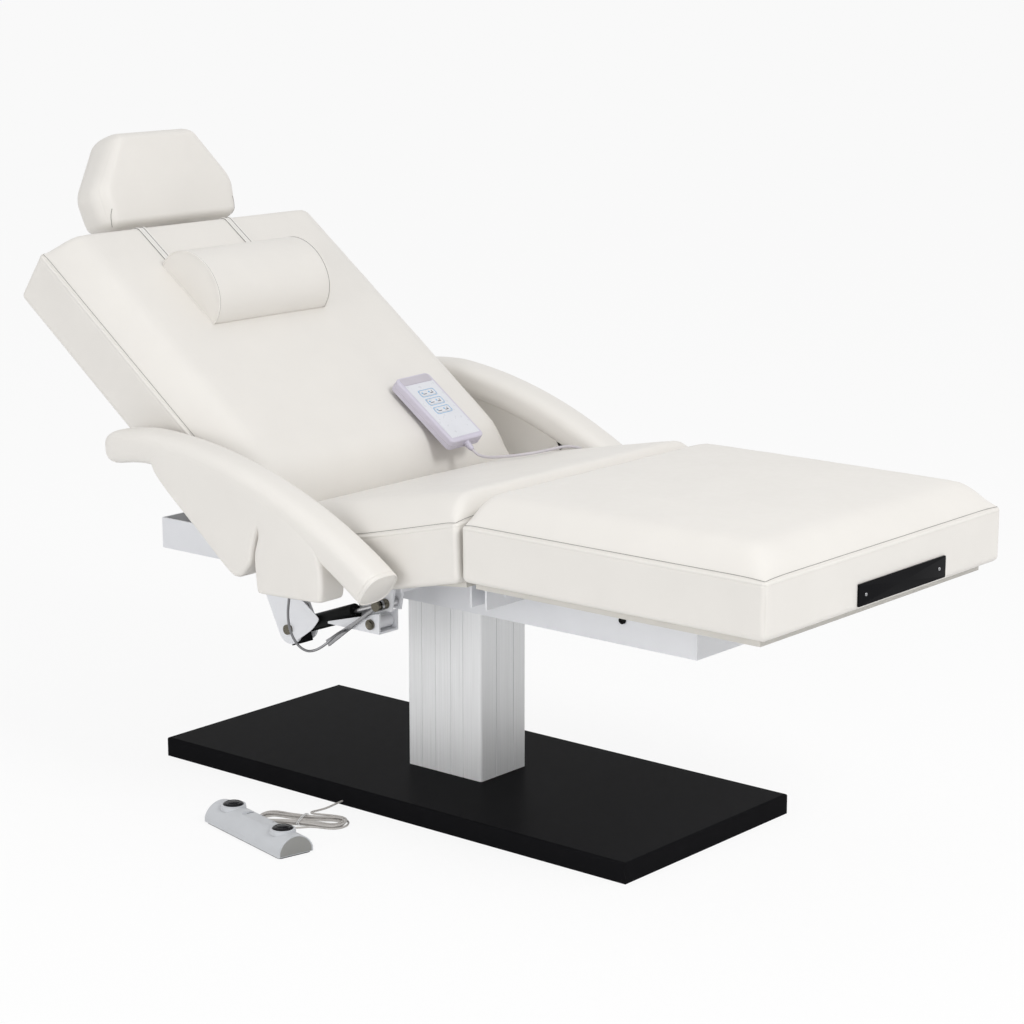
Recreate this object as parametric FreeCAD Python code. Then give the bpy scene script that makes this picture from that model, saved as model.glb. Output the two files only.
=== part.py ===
import FreeCAD, Part
import math
import os

V = FreeCAD.Vector
os.makedirs("parts", exist_ok=True)

# Electric spa treatment table, millimetres, +Z up, +X to the foot end, -Y the near side.
# The origin is on the floor under the middle of the lifting column.

# Base plate and lifting column
base_length = 1198.0
base_width = 516.0
base_thick = 40.0
base_edge = 4.0
column_long = 192.0
column_wide = 138.0
column_wall = 8.0
column_corner = 6.0
column_top = 392.0
groove_wide = 2.4
groove_deep = 1.2
groove_lines_long = (-58.0, -22.0, 18.0, 50.0)
groove_lines_wide = (-22.0, 30.0)
inner_gap = 4.0
inner_wall = 7.0
inner_foot = 62.0
slide_clear = 0.3
glide_high = 40.0
jack_tube_radius = 26.0
jack_bore_radius = 18.0
jack_tube_high = 285.0
jack_rod_radius = 15.0
bolt_head_radius = 10.0
bolt_head_high = 7.0

# Tray frame on the column
head_plate_long = 250.0
head_plate_wide = 200.0
head_plate_thick = 8.0
head_plate_seat = 397.0
sheet = 3.0
tray_head = -725.0
tray_foot = 665.0
tray_half = 140.0
tray_high = 65.0
tray_floor = head_plate_seat + head_plate_thick
tray_top = tray_floor + tray_high
cushion_gap = 70.0
cushion_base = tray_top + cushion_gap
control_place = -380.0
control_long = 100.0
control_wide = 200.0
control_high = 48.0
inlet_wide = 32.0
inlet_high = 24.0
inlet_deep = 12.0

# Seat section, sloping down to the back
cushion_half = 381.0
board_thick = 16.0
board_inset = 28.0
seat_front = 312.0
seat_rear = -240.0
seat_board_rear = -150.0
seat_front_base = cushion_base
seat_slope = 6.5
seat_thick = 108.0
side_shoulder = 30.0
soft_end = 30.0
square_end = 13.0
seat_crown_rear = 16.0
seat_crown_front = 52.0
bearer_wall = 4.0
bearer_half = 300.0
bearer_long = 40.0
bearer_places = (-60.0, 60.0, 268.0)

# Back section, hinged on a cross shaft
back_angle = 37.1
hinge_x = -243.0
hinge_z = tray_top - 9.0
hinge_radius = 8.0
hinge_drop = 13.0
pin_clear = 0.08
back_start = -9.0
back_length = 803.0
back_thick = 116.0
back_bevel = 42.0
back_crown = 66.0
crease_clear = 1.5
tray_clear = 1.0

# Gas spring and lever under the back
lever_reach = 121.0
spring_y = -270.0
lever_gap = 38.0
lever_thick = 6.0
lever_round = 30.0
lever_pin_radius = 6.0
spring_slope = 20.0
spring_radius = 16.0
spring_length = 150.0
spring_rod_radius = 5.0
spring_bore = spring_rod_radius + pin_clear
spring_span = 262.0
spring_stroke = 72.0
yoke_side = 5.0
yoke_run = 70.0
yoke_lead = 2.6
lug_thick = 5.0
guide_rear = -96.0
guide_floor_rear = -56.0
guide_end = 38.0
guide_low = 377.0
guide_high = 41.0
guide_sheet = 4.0
guide_half = 27.0
roller_x = 17.0
roller_z = 394.0
roller_radius = 13.0
release_y = -303.0
release_thick = 6.0
release_rod = 4.0
release_bend_x = -30.0
release_bend_z = 383.0
release_tip_x = -91.0
release_tip_z = 340.0

# Leg section
leg_start = 324.0
leg_end = 975.0
leg_base = cushion_base
leg_thick = 105.0
leg_crown = 52.0
knee_radius = 6.0
knee_knuckle = 9.0
knee_leaf = 45.0
knee_places = (-220.0, 0.0, 220.0)
knee_half = 30.0
knee_pin_over = 2.0
knee_x = 318.0
knee_z = leg_base - 9.0
leg_jack_x = 560.0
leg_jack_radius = 20.0
leg_jack_bore = 13.0
leg_jack_rod = 12.5
leg_jack_high = 58.0
leg_jack_foot = 52.0
plate_long = 285.0
plate_high = 40.0
plate_thick = 3.0
plate_z = leg_base + 28.0
plate_y = 38.0

# Armrests
arm_gap = 15.0
arm_inner = cushion_half + arm_gap
arm_wide = 82.0
arm_thick = 66.0
arm_radius = 1043.0
arm_centre_x = -439.0
arm_crest_z = 706.0
arm_centre_z = arm_crest_z - arm_radius
arm_from = 54.5
arm_to = 95.5
panel_thick = 44.0
arm_pivot_x = -40.0
arm_pivot_z = tray_top + 22.0
arm_pivot_radius = 10.0
arm_cheek_rear = 90.0
arm_bar_long = 30.0
arm_bar_high = 9.0
arm_far_raise = 4.5
arm_steps = 7
panel_gap = 0.6
panel_round = 10.0
flap_corners = ((-352.0, 163.0), (-132.0, 0.0), (-110.0, 0.0), (-80.5, 32.0), (-77.0, 56.0), (-65.0, 98.0),
                (-64.0, 190.0), (-352.0, 230.0))
block_corners = ((-72.0, 56.0), (-73.0, 38.0), (-67.0, -22.0), (95.0, -17.0), (101.0, 20.0), (130.0, 48.0),
                 (30.0, 150.0), (-60.0, 160.0), (-60.5, 98.0))

# Head support
head_t = 818.0
head_tilt = 35.0
pillow_thick = 96.0
pillow_length = 205.0
pillow_half = 178.0
rod_radius = 8.0
rod_half = 90.0
rod_length = 190.0
socket_radius = 14.0
socket_length = 120.0
head_pin_radius = 5.0

# Neck bolster and its straps
bolster_t = 570.0
bolster_base = 184.0
bolster_high = 88.0
bolster_half = 176.0
bolster_y = -22.0
strap_wide = 20.0
strap_thick = 2.0
strap_places = (-143.0, 103.0)

# Hand control and foot control
hand_long = 190.0
hand_wide = 104.0
hand_thick = 26.0
hand_t = 134.0
hand_y = 166.0
hand_turn = 2.0
relief_long = 20.0
key_long = 13.0
key_wide = 42.0
key_space = 12.0
key_room = 2.0
key_high = 2.2
key_well = 1.4
key_clear = 0.4
key_rib = 0.9
key_axle = 2.0
relief_gap = 0.4
relief_lead = 14.0
foot_long = 265.0
foot_wide = 76.0
foot_high = 40.0
foot_x = -92.0
foot_y = -500.0
foot_turn = -13.0
foot_sole = 3.0
pedal_radius = 19.0
pedal_high = 14.0
pedal_place = 88.0
pedal_sunk = 8.0
pedal_clear = 0.5


# Cords: radii, the tied hank and hand-chosen routes
hand_cord_radius = 3.0
foot_cord_radius = 2.0
cable_radius = 2.5
gland_radius = 8.0
hank_x = -88.0
hank_y = -384.0
hank_turn = 26.0
hank_steps = 65
hank_half_straight = 56.0
hank_round = 36.0
hank_waist = 3.0
hank_pitch = 5.2
hank_layer = 4.8
hand_cord_route = ((-101.0, 171.6, 631.3), (-86.0, 173.2, 632.1),
                   (-68.0, 177.0, 634.2), (-50.0, 183.0, 637.0), (-32.0, 192.0, 639.9),
                   (-14.0, 206.0, 643.0), (-4.0, 226.0, 644.8), (0.0, 250.0, 645.5), (1.0, 276.0, 645.6),
                   (0.0, 303.0, 645.3), (-2.0, 330.0, 641.5), (-5.0, 354.0, 635.6), (-6.0, 374.0, 629.6),
                   (-6.0, 388.0, 608.9), (-4.0, 391.0, 580.0), (2.0, 391.5, 540.0), (10.0, 389.0, 492.0),
                   (12.0, 370.0, 463.0), (11.0, 335.0, 451.0), (10.0, 290.0, 447.0), (10.0, 238.0, 445.5),
                   (10.0, 188.0, 445.0), (10.0, 162.0, 445.0))
foot_lead_route = ((-66.3, -450.7, 9.5), (-65.0, -436.0, 7.0), (-64.0, -421.0, 4.2), (-60.0, -410.0, 2.6))
foot_tail_route = ((-92.0, -348.6, 7.0), (-104.0, -345.0, 5.8), (-109.0, -333.0, 3.9), (-107.0, -315.0, 2.7),
                   (-104.0, -296.0, 3.4), (-102.0, -276.0, 6.4), (-101.0, -258.0, 8.0))
cable_route = ((-44.0, -320.0, 373.0), (-49.0, -333.0, 364.0), (-60.0, -343.0, 350.0),
               (-76.0, -353.0, 338.0), (-91.0, -364.0, 336.0), (-104.0, -377.0, 352.0),
               (-110.0, -388.0, 382.0), (-105.0, -397.0, 416.0), (-95.0, -402.0, 448.0))

nodes = {}


def box(x0, x1, y0, y1, z0, z1):
    return Part.makeBox(x1 - x0, y1 - y0, z1 - z0, V(x0, y0, z0))


def rod(start, end, radius):
    run = end.sub(start)
    return Part.makeCylinder(radius, run.Length, start, run)


def cross_rod(x, z, y0, y1, radius):
    return rod(V(x, y0, z), V(x, y1, z), radius)


def prism(points, y0, y1):
    # A flat outline in X and Z, carried from y0 to y1.
    corners = [V(x, y0, z) for x, z in points]
    face = Part.Face(Part.makePolygon(corners + corners[:1]))
    return face.extrude(V(0, y1 - y0, 0))


def rounded_box(x0, x1, y0, y1, z0, z1, radius):
    # A block whose four upright edges are rounded.
    block = box(x0, x1, y0, y1, z0, z1)
    upright = [e for e in block.Edges if abs(e.tangentAt(e.FirstParameter).z) > 0.9]
    return block.makeFillet(radius, upright)


def section(outline, rises, shoulders, y):
    # Closed outline of four corners whose top run swells from both seams; the rises hold at its two ends.
    low_a, low_b, top_b, top_a = [V(x, y, z) for x, z in outline]
    run = top_b.sub(top_a)
    up = V(-run.z, 0, run.x).normalize()
    if up.z < 0:
        up = up.multiply(-1)
    share_a = shoulders[0] / run.Length
    share_b = shoulders[1] / run.Length
    tops = [top_b]
    for place, high in ((1 - share_b, 0.72), (1 - 2.4 * share_b, 0.96), (0.5, 1.0), (2.4 * share_a, 0.96),
                        (share_a, 0.72)):
        rise = rises[0] + (rises[1] - rises[0]) * place
        tops.append(top_a.add(V(run).multiply(place)).add(V(up).multiply(rise * high)))
    tops.append(top_a)
    curve = Part.BSplineCurve()
    curve.interpolate(tops)
    edges = [Part.LineSegment(low_a, low_b).toShape(), Part.LineSegment(low_b, top_b).toShape(),
             curve.toShape(), Part.LineSegment(top_a, low_a).toShape()]
    return Part.Wire(edges)


def padded(outline, half, rises, shoulders, draw=2.0):
    # A cushion on a flat base: sides drawn in, and a top that rises from its four seams to a crown.
    low_a, low_b, top_b, top_a = [V(x, 0, z) for x, z in outline]
    along = low_b.sub(low_a).normalize()
    inner = half - side_shoulder
    flat = half - 2.4 * side_shoulder
    wires = []
    for side, lift, pull in ((-half, 0.02, 1.0), (-inner, 0.72, 0.0), (-flat, 0.96, 0.0), (0.0, 1.0, 0.0),
                             (flat, 0.96, 0.0), (inner, 0.72, 0.0), (half, 0.02, 1.0)):
        inward = V(along).multiply(draw * pull)
        corners = (low_a.add(inward), low_b.sub(inward), top_b.sub(inward), top_a.add(inward))
        high = [rise * lift for rise in rises]
        wires.append(section([(c.x, c.z) for c in corners], high, shoulders, side))
    return Part.makeLoft(wires, True, True)


# Frame of the back: t runs from the hinge towards the head, h out of its lower face.
back_dir = (-math.cos(math.radians(back_angle)), math.sin(math.radians(back_angle)))
back_up = (math.sin(math.radians(back_angle)), math.cos(math.radians(back_angle)))


def on_back(t, h):
    lift = h + hinge_drop
    return (hinge_x + back_dir[0] * t + back_up[0] * lift, hinge_z + back_dir[1] * t + back_up[1] * lift)


def back_point(t, y, h):
    x, z = on_back(t, h)
    return V(x, y, z)


def lay_on_back(shape):
    # Carry a shape from (t, y, h) axes, with t along -X, to the slope of the back.
    copy = shape.copy()
    copy.rotate(V(0, 0, 0), V(0, 1, 0), back_angle)
    x, z = on_back(0, 0)
    copy.translate(V(x, 0, z))
    return copy


# Base plate with eased edges
def make_base():
    plate = box(-base_length / 2, base_length / 2, -base_width / 2, base_width / 2, 0, base_thick)
    top = [e for e in plate.Edges if e.BoundBox.ZMin > base_thick - 0.01 and e.Length > base_width - 1]
    plate = plate.makeFillet(base_edge, top)
    nodes["base_plate"] = plate


# Telescopic column: grooved outer extrusion, plain inner tube, glides and the jack inside
def make_column():
    half_x = column_long / 2
    half_y = column_wide / 2
    outer = rounded_box(-half_x, half_x, -half_y, half_y, base_thick, column_top, column_corner)
    bore = box(-half_x + column_wall, half_x - column_wall, -half_y + column_wall, half_y - column_wall,
               base_thick, column_top)
    outer = outer.cut(bore)
    for x in groove_lines_long:
        for sy in (-1, 1):
            edge = sy * half_y
            outer = outer.cut(box(x - groove_wide / 2, x + groove_wide / 2,
                                  min(edge, edge - sy * groove_deep), max(edge, edge - sy * groove_deep),
                                  base_thick, column_top))
    for y in groove_lines_wide:
        for sx in (-1, 1):
            edge = sx * half_x
            outer = outer.cut(box(min(edge, edge - sx * groove_deep), max(edge, edge - sx * groove_deep),
                                  y - groove_wide / 2, y + groove_wide / 2, base_thick, column_top))
    nodes["column_outer"] = outer
    in_x = half_x - column_wall - inner_gap
    in_y = half_y - column_wall - inner_gap
    inner = box(-in_x, in_x, -in_y, in_y, inner_foot, head_plate_seat)
    inner = inner.cut(box(-in_x + inner_wall, in_x - inner_wall, -in_y + inner_wall, in_y - inner_wall,
                          inner_foot, head_plate_seat))
    nodes["column_inner"] = inner
    pad = inner_gap - slide_clear
    low = column_top - glide_high - 2
    high = column_top - 2
    glides = []
    for side in (-1, 1):
        wall_x = side * (half_x - column_wall)
        wall_y = side * (half_y - column_wall)
        glides.append(box(min(wall_x, wall_x - side * pad), max(wall_x, wall_x - side * pad),
                          -in_y * 0.7, in_y * 0.7, low, high))
        glides.append(box(-in_x * 0.7, in_x * 0.7,
                          min(wall_y, wall_y - side * pad), max(wall_y, wall_y - side * pad), low, high))
    nodes["column_glides"] = Part.makeCompound(glides)
    tube = rod(V(0, 0, base_thick), V(0, 0, base_thick + jack_tube_high), jack_tube_radius)
    tube = tube.cut(rod(V(0, 0, base_thick + 6), V(0, 0, base_thick + jack_tube_high), jack_bore_radius))
    nodes["lift_jack_tube"] = tube
    nodes["lift_jack_rod"] = rod(V(0, 0, base_thick + 14), V(0, 0, head_plate_seat), jack_rod_radius)
    plate = rounded_box(-head_plate_long / 2, head_plate_long / 2, -head_plate_wide / 2, head_plate_wide / 2,
                        head_plate_seat, tray_floor, column_corner * 2)
    nodes["column_head_plate"] = plate


# Tray frame: floor, two side plates bored for the hinge shaft, two end plates
def make_tray():
    wall_low = tray_floor + sheet
    nodes["frame_floor"] = box(tray_head, tray_foot, -tray_half, tray_half, tray_floor, wall_low)
    for name, side in (("near", -1), ("far", 1)):
        outer = side * tray_half
        wall = box(tray_head, tray_foot, min(outer, outer - side * sheet), max(outer, outer - side * sheet),
                   wall_low, tray_top)
        wall = wall.cut(cross_rod(hinge_x, hinge_z, outer - 20, outer + 20, hinge_radius + slide_clear))
        nodes["frame_side_" + name] = wall
    inside = tray_half - sheet
    for name, x0 in (("head", tray_head), ("foot", tray_foot - sheet)):
        nodes["frame_end_" + name] = box(x0, x0 + sheet, -inside, inside, wall_low, tray_top)
    rear = control_place - control_long / 2
    control = rounded_box(rear, rear + control_long, -control_wide / 2, control_wide / 2, wall_low,
                          wall_low + control_high, column_corner)
    inlet_low = wall_low + (control_high - inlet_high) / 2
    inlet = box(rear - 1, rear + inlet_deep, -inlet_wide / 2, inlet_wide / 2, inlet_low,
                inlet_low + inlet_high)
    nodes["control_box"] = control.cut(inlet)


def seat_under(x):
    # Height of the lower face of the seat cushion at a place along the table.
    return seat_front_base - (seat_front - x) * math.tan(math.radians(seat_slope))


# Seat: bearers across the tray, board, cushion cut at the rear along the crease with the back
def make_seat():
    bearers = []
    for x0 in bearer_places:
        x1 = x0 + bearer_long
        low = tray_top
        high_a = seat_under(x0) - board_thick / math.cos(math.radians(seat_slope))
        high_b = seat_under(x1) - board_thick / math.cos(math.radians(seat_slope))
        block = prism(((x0, low), (x1, low), (x1, high_b), (x0, high_a)), -bearer_half, bearer_half)
        hollow = prism(((x0 + bearer_wall, low - 1), (x1 - bearer_wall, low - 1),
                        (x1 - bearer_wall, high_b - bearer_wall - 0.6),
                        (x0 + bearer_wall, high_a - bearer_wall)), -bearer_half, bearer_half)
        bearers.append(block.cut(hollow))
    nodes["seat_bearers"] = Part.makeCompound(bearers)
    slope = math.radians(seat_slope)
    run = (math.cos(slope), math.sin(slope))
    up = (-math.sin(slope), math.cos(slope))

    def place(along, high):
        return (seat_front + run[0] * along + up[0] * high, seat_front_base + run[1] * along + up[1] * high)

    length = (seat_rear - seat_front) / run[0]
    outline = (place(length, 0), place(0, 0), place(6, seat_thick), place(length + back_bevel, seat_thick))
    low = on_back(back_start - crease_clear, 0)
    top = on_back(back_start + back_bevel - crease_clear, back_thick)
    rise = (top[0] - low[0], top[1] - low[1])
    behind = prism(((low[0] - rise[0], low[1] - rise[1]), (top[0] + rise[0], top[1] + rise[1]),
                    (top[0] + rise[0] - 400, top[1] + rise[1]), (low[0] - rise[0] - 400, low[1] - rise[1])),
                   -cushion_half - 5, cushion_half + 5)
    cushion = padded(outline, cushion_half, (seat_crown_rear, seat_crown_front), (soft_end, square_end))
    nodes["seat_cushion"] = cushion.cut(behind)
    board_half = cushion_half - board_inset
    rear = seat_board_rear
    board = prism((place((rear - seat_front) / run[0], 0), place(-8, 0), place(-8, -board_thick),
                   place((rear - seat_front) / run[0], -board_thick)), -board_half, board_half)
    nodes["seat_board"] = board


# Back: board, cushion, cross shaft in two bearing blocks, and the levers on the shaft
def make_back():
    board_half = cushion_half - board_inset
    length = back_start + back_length
    board = prism((on_back(30, 0), on_back(length - board_inset, 0),
                   on_back(length - board_inset, board_thick), on_back(30, board_thick)),
                  -board_half, board_half)
    nodes["back_board"] = board
    outline = (on_back(back_start, 0), on_back(length, 0), on_back(length + 4, back_thick),
               on_back(back_start + back_bevel, back_thick))
    cushion = padded(outline, cushion_half, (back_crown, back_crown), (soft_end, square_end))
    recess = prism((on_back(30 - slide_clear, -1), on_back(length - board_inset + slide_clear, -1),
                    on_back(length - board_inset + slide_clear, board_thick + slide_clear),
                    on_back(30 - slide_clear, board_thick + slide_clear)),
                   -board_half - slide_clear, board_half + slide_clear)
    under = box(hinge_x - 60, hinge_x + 60, -cushion_half - 5, cushion_half + 5, tray_floor,
                tray_top + tray_clear)
    nodes["back_cushion"] = cushion.cut(recess).cut(under)
    shaft_half = -spring_y + lever_gap / 2 + lever_thick + 4
    nodes["back_hinge_shaft"] = cross_rod(hinge_x, hinge_z, -shaft_half, shaft_half, hinge_radius)
    blocks = []
    for side in (-1, 1):
        outer = side * tray_half
        far = side * (tray_half + 24)
        block = box(hinge_x - 26, hinge_x + 26, min(outer, far), max(outer, far), tray_floor + 12, tray_top)
        blocks.append(block.cut(cross_rod(hinge_x, hinge_z, min(outer, far), max(outer, far),
                                          hinge_radius + pin_clear)))
    nodes["hinge_blocks"] = Part.makeCompound(blocks)


lever_down = (math.sin(math.radians(spring_slope)), -math.cos(math.radians(spring_slope)))
lever_pin_x = hinge_x + lever_reach * lever_down[0]
lever_pin_z = hinge_z + lever_reach * lever_down[1]


def lever_plate(y0, y1):
    # A cheek that is fixed under the back board, turns on the shaft and ends at the spring's pin.
    foot = (lever_pin_x, lever_pin_z)
    wide = lever_round
    side = (lever_down[1], -lever_down[0])
    plate = prism((on_back(-4, 0), (foot[0] + wide * -side[0], foot[1] - wide * side[1]),
                   (foot[0] + wide * side[0], foot[1] + wide * side[1]), on_back(120, 0)), y0, y1)
    plate = plate.fuse(cross_rod(foot[0], foot[1], y0, y1, wide))
    plate = plate.cut(cross_rod(hinge_x, hinge_z, y0 - 1, y1 + 1, hinge_radius + pin_clear))
    plate = plate.cut(cross_rod(foot[0], foot[1], y0 - 1, y1 + 1, lever_pin_radius))
    return plate.removeSplitter()


# Levers with the spring pin; the gas spring's rod is held at a lug, its cylinder carries a slotted yoke
def make_spring():
    inner = lever_gap / 2
    cheeks = ((spring_y - inner - lever_thick, spring_y - inner),
              (spring_y + inner, spring_y + inner + lever_thick),
              (-spring_y + inner, -spring_y + inner + lever_thick))
    nodes["back_levers"] = Part.makeCompound([lever_plate(y0, y1) for y0, y1 in cheeks])
    y0 = spring_y - inner - lever_thick
    y1 = spring_y + inner + lever_thick
    pin = cross_rod(lever_pin_x, lever_pin_z, y0 - 1, y1 + 1, lever_pin_radius)
    head = cross_rod(lever_pin_x, lever_pin_z, y0 - 1 - bolt_head_high, y0 - 1, bolt_head_radius)
    nodes["spring_pin"] = pin.fuse(head)
    ahead = V(math.cos(math.radians(spring_slope)), 0, math.sin(math.radians(spring_slope)))
    upward = V(-ahead.z, 0, ahead.x)
    start = V(lever_pin_x, spring_y, lever_pin_z)
    fork_end = start.add(V(ahead).multiply(lever_pin_radius + yoke_lead + yoke_side))
    body_end = fork_end.add(V(ahead).multiply(spring_length))
    cylinder = rod(fork_end, body_end, spring_radius)
    bore_from = fork_end.add(V(ahead).multiply(10))
    cylinder = cylinder.cut(rod(bore_from, body_end, spring_bore))
    half_y = lever_gap / 2 - 3
    slot = lever_pin_radius + yoke_lead
    yoke = box(-slot - yoke_side, slot + yoke_side, -half_y, half_y, -yoke_run / 2, yoke_run / 2 + 4)
    yoke = yoke.cut(box(-slot, slot, -half_y - 1, half_y + 1, -yoke_run / 2 - 1, yoke_run / 2 - 4))
    yoke.rotate(V(0, 0, 0), V(0, 1, 0), -spring_slope)
    yoke.translate(start.add(V(upward).multiply(2)))
    nodes["spring_cylinder"] = cylinder.fuse(yoke)
    lug_pin = start.add(V(ahead).multiply(spring_span))
    rod_from = fork_end.add(V(ahead).multiply(spring_stroke + 18))
    stem = rod(rod_from, lug_pin.sub(V(ahead).multiply(8)), spring_rod_radius)
    eye = rod(lug_pin.add(V(0, -9, 0)), lug_pin.add(V(0, 9, 0)), 11)
    eye = eye.fuse(rod(lug_pin.sub(V(ahead).multiply(24)), lug_pin, 9))
    eye = eye.fuse(stem)
    nodes["spring_rod"] = eye.cut(rod(lug_pin.add(V(0, -12, 0)), lug_pin.add(V(0, 12, 0)), lever_pin_radius))
    lugs = []
    for side in (-1, 1):
        y0 = spring_y + side * 10 - (lug_thick if side < 0 else 0)
        lug = prism(((lug_pin.x - 14, lug_pin.z - 14), (lug_pin.x + 14, lug_pin.z - 14),
                     (lug_pin.x + 22, tray_top), (lug_pin.x - 6, tray_top)), y0, y0 + lug_thick)
        lugs.append(lug.cut(cross_rod(lug_pin.x, lug_pin.z, y0 - 1, y0 + lug_thick + 1, lever_pin_radius)))
    lever_face = release_y - release_rod
    bolt = cross_rod(lug_pin.x, lug_pin.z, lever_face - 1, spring_y + 16, lever_pin_radius)
    bolt = bolt.fuse(cross_rod(lug_pin.x, lug_pin.z, lever_face - 1 - bolt_head_high, lever_face - 1,
                               bolt_head_radius))
    collar_end = spring_y - 10 - lug_thick - slide_clear
    bolt = bolt.fuse(cross_rod(lug_pin.x, lug_pin.z, release_y + release_rod + slide_clear, collar_end,
                               bolt_head_radius))
    nodes["spring_lugs"] = Part.makeCompound(lugs + make_guide())
    roller_bolt = cross_rod(roller_x, roller_z, spring_y - guide_half - 1, spring_y + guide_half,
                            lever_pin_radius)
    roller_bolt = roller_bolt.fuse(cross_rod(roller_x, roller_z, spring_y - guide_half - 5,
                                             spring_y - guide_half - 1, bolt_head_radius))
    nodes["spring_lug_bolt"] = Part.makeCompound([bolt, roller_bolt])
    return make_release(lug_pin)


def make_guide():
    # Channel beside the spring: two tapering cheeks on a floor, hung from a bearer, with a roller in its end.
    pieces = []
    low = guide_low + guide_sheet
    for side in (-1, 1):
        edge = spring_y + side * guide_half
        y0 = min(edge, edge - side * guide_sheet)
        cheek = prism(((guide_rear, guide_low), (guide_end, guide_low), (guide_end, guide_low + guide_high),
                       (guide_rear, low)), y0, y0 + guide_sheet)
        if side > 0:
            near = bearer_places[0]
            far = near + bearer_long
            hanger = prism(((near, low), (far, low), (far, tray_top), (near, tray_top)), y0, y0 + guide_sheet)
            cheek = cheek.fuse(hanger)
        pieces.append(cheek)
    floor = box(guide_floor_rear, guide_end, spring_y - guide_half, spring_y + guide_half, guide_low, low)
    channel = floor.fuse(pieces).removeSplitter()
    inside = guide_half - guide_sheet - slide_clear
    roller = cross_rod(roller_x, roller_z, spring_y - inside, spring_y + inside, roller_radius)
    roller = roller.cut(cross_rod(roller_x, roller_z, spring_y - inside - 1, spring_y + inside + 1,
                                  lever_pin_radius + pin_clear))
    channel = channel.cut(cross_rod(roller_x, roller_z, spring_y - guide_half - 1, spring_y + guide_half + 1,
                                    lever_pin_radius))
    return [channel, roller]


def make_release(lug_pin):
    # Release lever: an eye on the lug's bolt, a round stem and a flattened end that the cable pulls.
    y0 = release_y - release_thick / 2
    y1 = release_y + release_thick / 2
    bend = V(release_bend_x, release_y, release_bend_z)
    tip = V(release_tip_x, release_y, release_tip_z)
    eye = cross_rod(lug_pin.x, lug_pin.z, y0, y1, bolt_head_radius + 2)
    stem = rod(V(lug_pin.x, release_y, lug_pin.z), bend, release_rod)
    run = tip.sub(bend).normalize()
    side = V(-run.z, 0, run.x).multiply(release_rod)
    wide = V(side).multiply(1.7)
    corners = (bend.add(side).sub(V(run).multiply(6)), tip.add(wide), tip.sub(wide),
               bend.sub(side).sub(V(run).multiply(6)))
    flat = prism([(c.x, c.z) for c in corners], y0 + 1, y1 - 1)
    lever = eye.fuse(stem).fuse(flat)
    bore = cross_rod(lug_pin.x, lug_pin.z, release_y - 9, release_y + 9, lever_pin_radius + pin_clear)
    nodes["release_lever"] = lever.cut(bore)
    spot = bend.add(V(run).multiply(17))
    return V(spot.x, y0 + 1 - slide_clear, spot.z)


# Leg section: board, cushion, end plate, knee hinge and its jack
def make_leg():
    outline = ((leg_start, leg_base), (leg_end, leg_base), (leg_end, leg_base + leg_thick),
               (leg_start, leg_base + leg_thick))
    nodes["leg_cushion"] = padded(outline, cushion_half, (leg_crown, leg_crown), (square_end, soft_end))
    board_half = cushion_half - board_inset
    nodes["leg_board"] = box(leg_start + 4, leg_end - board_inset, -board_half, board_half,
                             leg_base - board_thick, leg_base)
    knuckles = []
    leaves = []
    for y in knee_places:
        face = bearer_places[2] + bearer_long
        leaf = box(face, face + sheet, y - knee_half, y, knee_z - knee_leaf, knee_z)
        leaf = leaf.fuse(cross_rod(knee_x, knee_z, y - knee_half, y, knee_knuckle))
        hole = cross_rod(knee_x, knee_z, y - knee_half - 1, y + 1, knee_radius + pin_clear)
        leaves.append(leaf.cut(hole))
        flap = box(knee_x, knee_x + 50, y + 0.5, y + knee_half, leg_base - board_thick - sheet,
                   leg_base - board_thick)
        flap = flap.fuse(cross_rod(knee_x, knee_z, y + 0.5, y + knee_half, knee_knuckle))
        hole = cross_rod(knee_x, knee_z, y - 1, y + knee_half + 1, knee_radius + pin_clear)
        knuckles.append(flap.cut(hole))
    nodes["knee_hinge_fixed"] = Part.makeCompound(leaves)
    nodes["knee_hinge_moving"] = Part.makeCompound(knuckles)
    near = knee_places[0] - knee_half - knee_pin_over
    far = knee_places[-1] + knee_half + knee_pin_over
    nodes["knee_hinge_pin"] = cross_rod(knee_x, knee_z, near, far, knee_radius)
    low = tray_floor + sheet
    tube = rod(V(leg_jack_x, 0, low), V(leg_jack_x, 0, low + leg_jack_high), leg_jack_radius)
    bore = rod(V(leg_jack_x, 0, low + 3), V(leg_jack_x, 0, low + leg_jack_high), leg_jack_bore)
    nodes["leg_jack_tube"] = tube.cut(bore)
    stem = rod(V(leg_jack_x, 0, low + leg_jack_foot), V(leg_jack_x, 0, leg_base - board_thick - 6),
               leg_jack_rod)
    cap = rod(V(leg_jack_x, 0, leg_base - board_thick - 6), V(leg_jack_x, 0, leg_base - board_thick - 0.4),
              leg_jack_radius)
    nodes["leg_jack_rod"] = stem.fuse(cap)
    face = leg_end + 0.4
    nodes["end_plate"] = box(face, face + plate_thick, plate_y - plate_long / 2, plate_y + plate_long / 2,
                             plate_z - plate_high / 2, plate_z + plate_high / 2)


def arc_point(angle, shift):
    a = math.radians(angle)
    radius = arm_radius + shift
    return (arm_centre_x + radius * math.cos(a), arm_centre_z + radius * math.sin(a))


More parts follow.
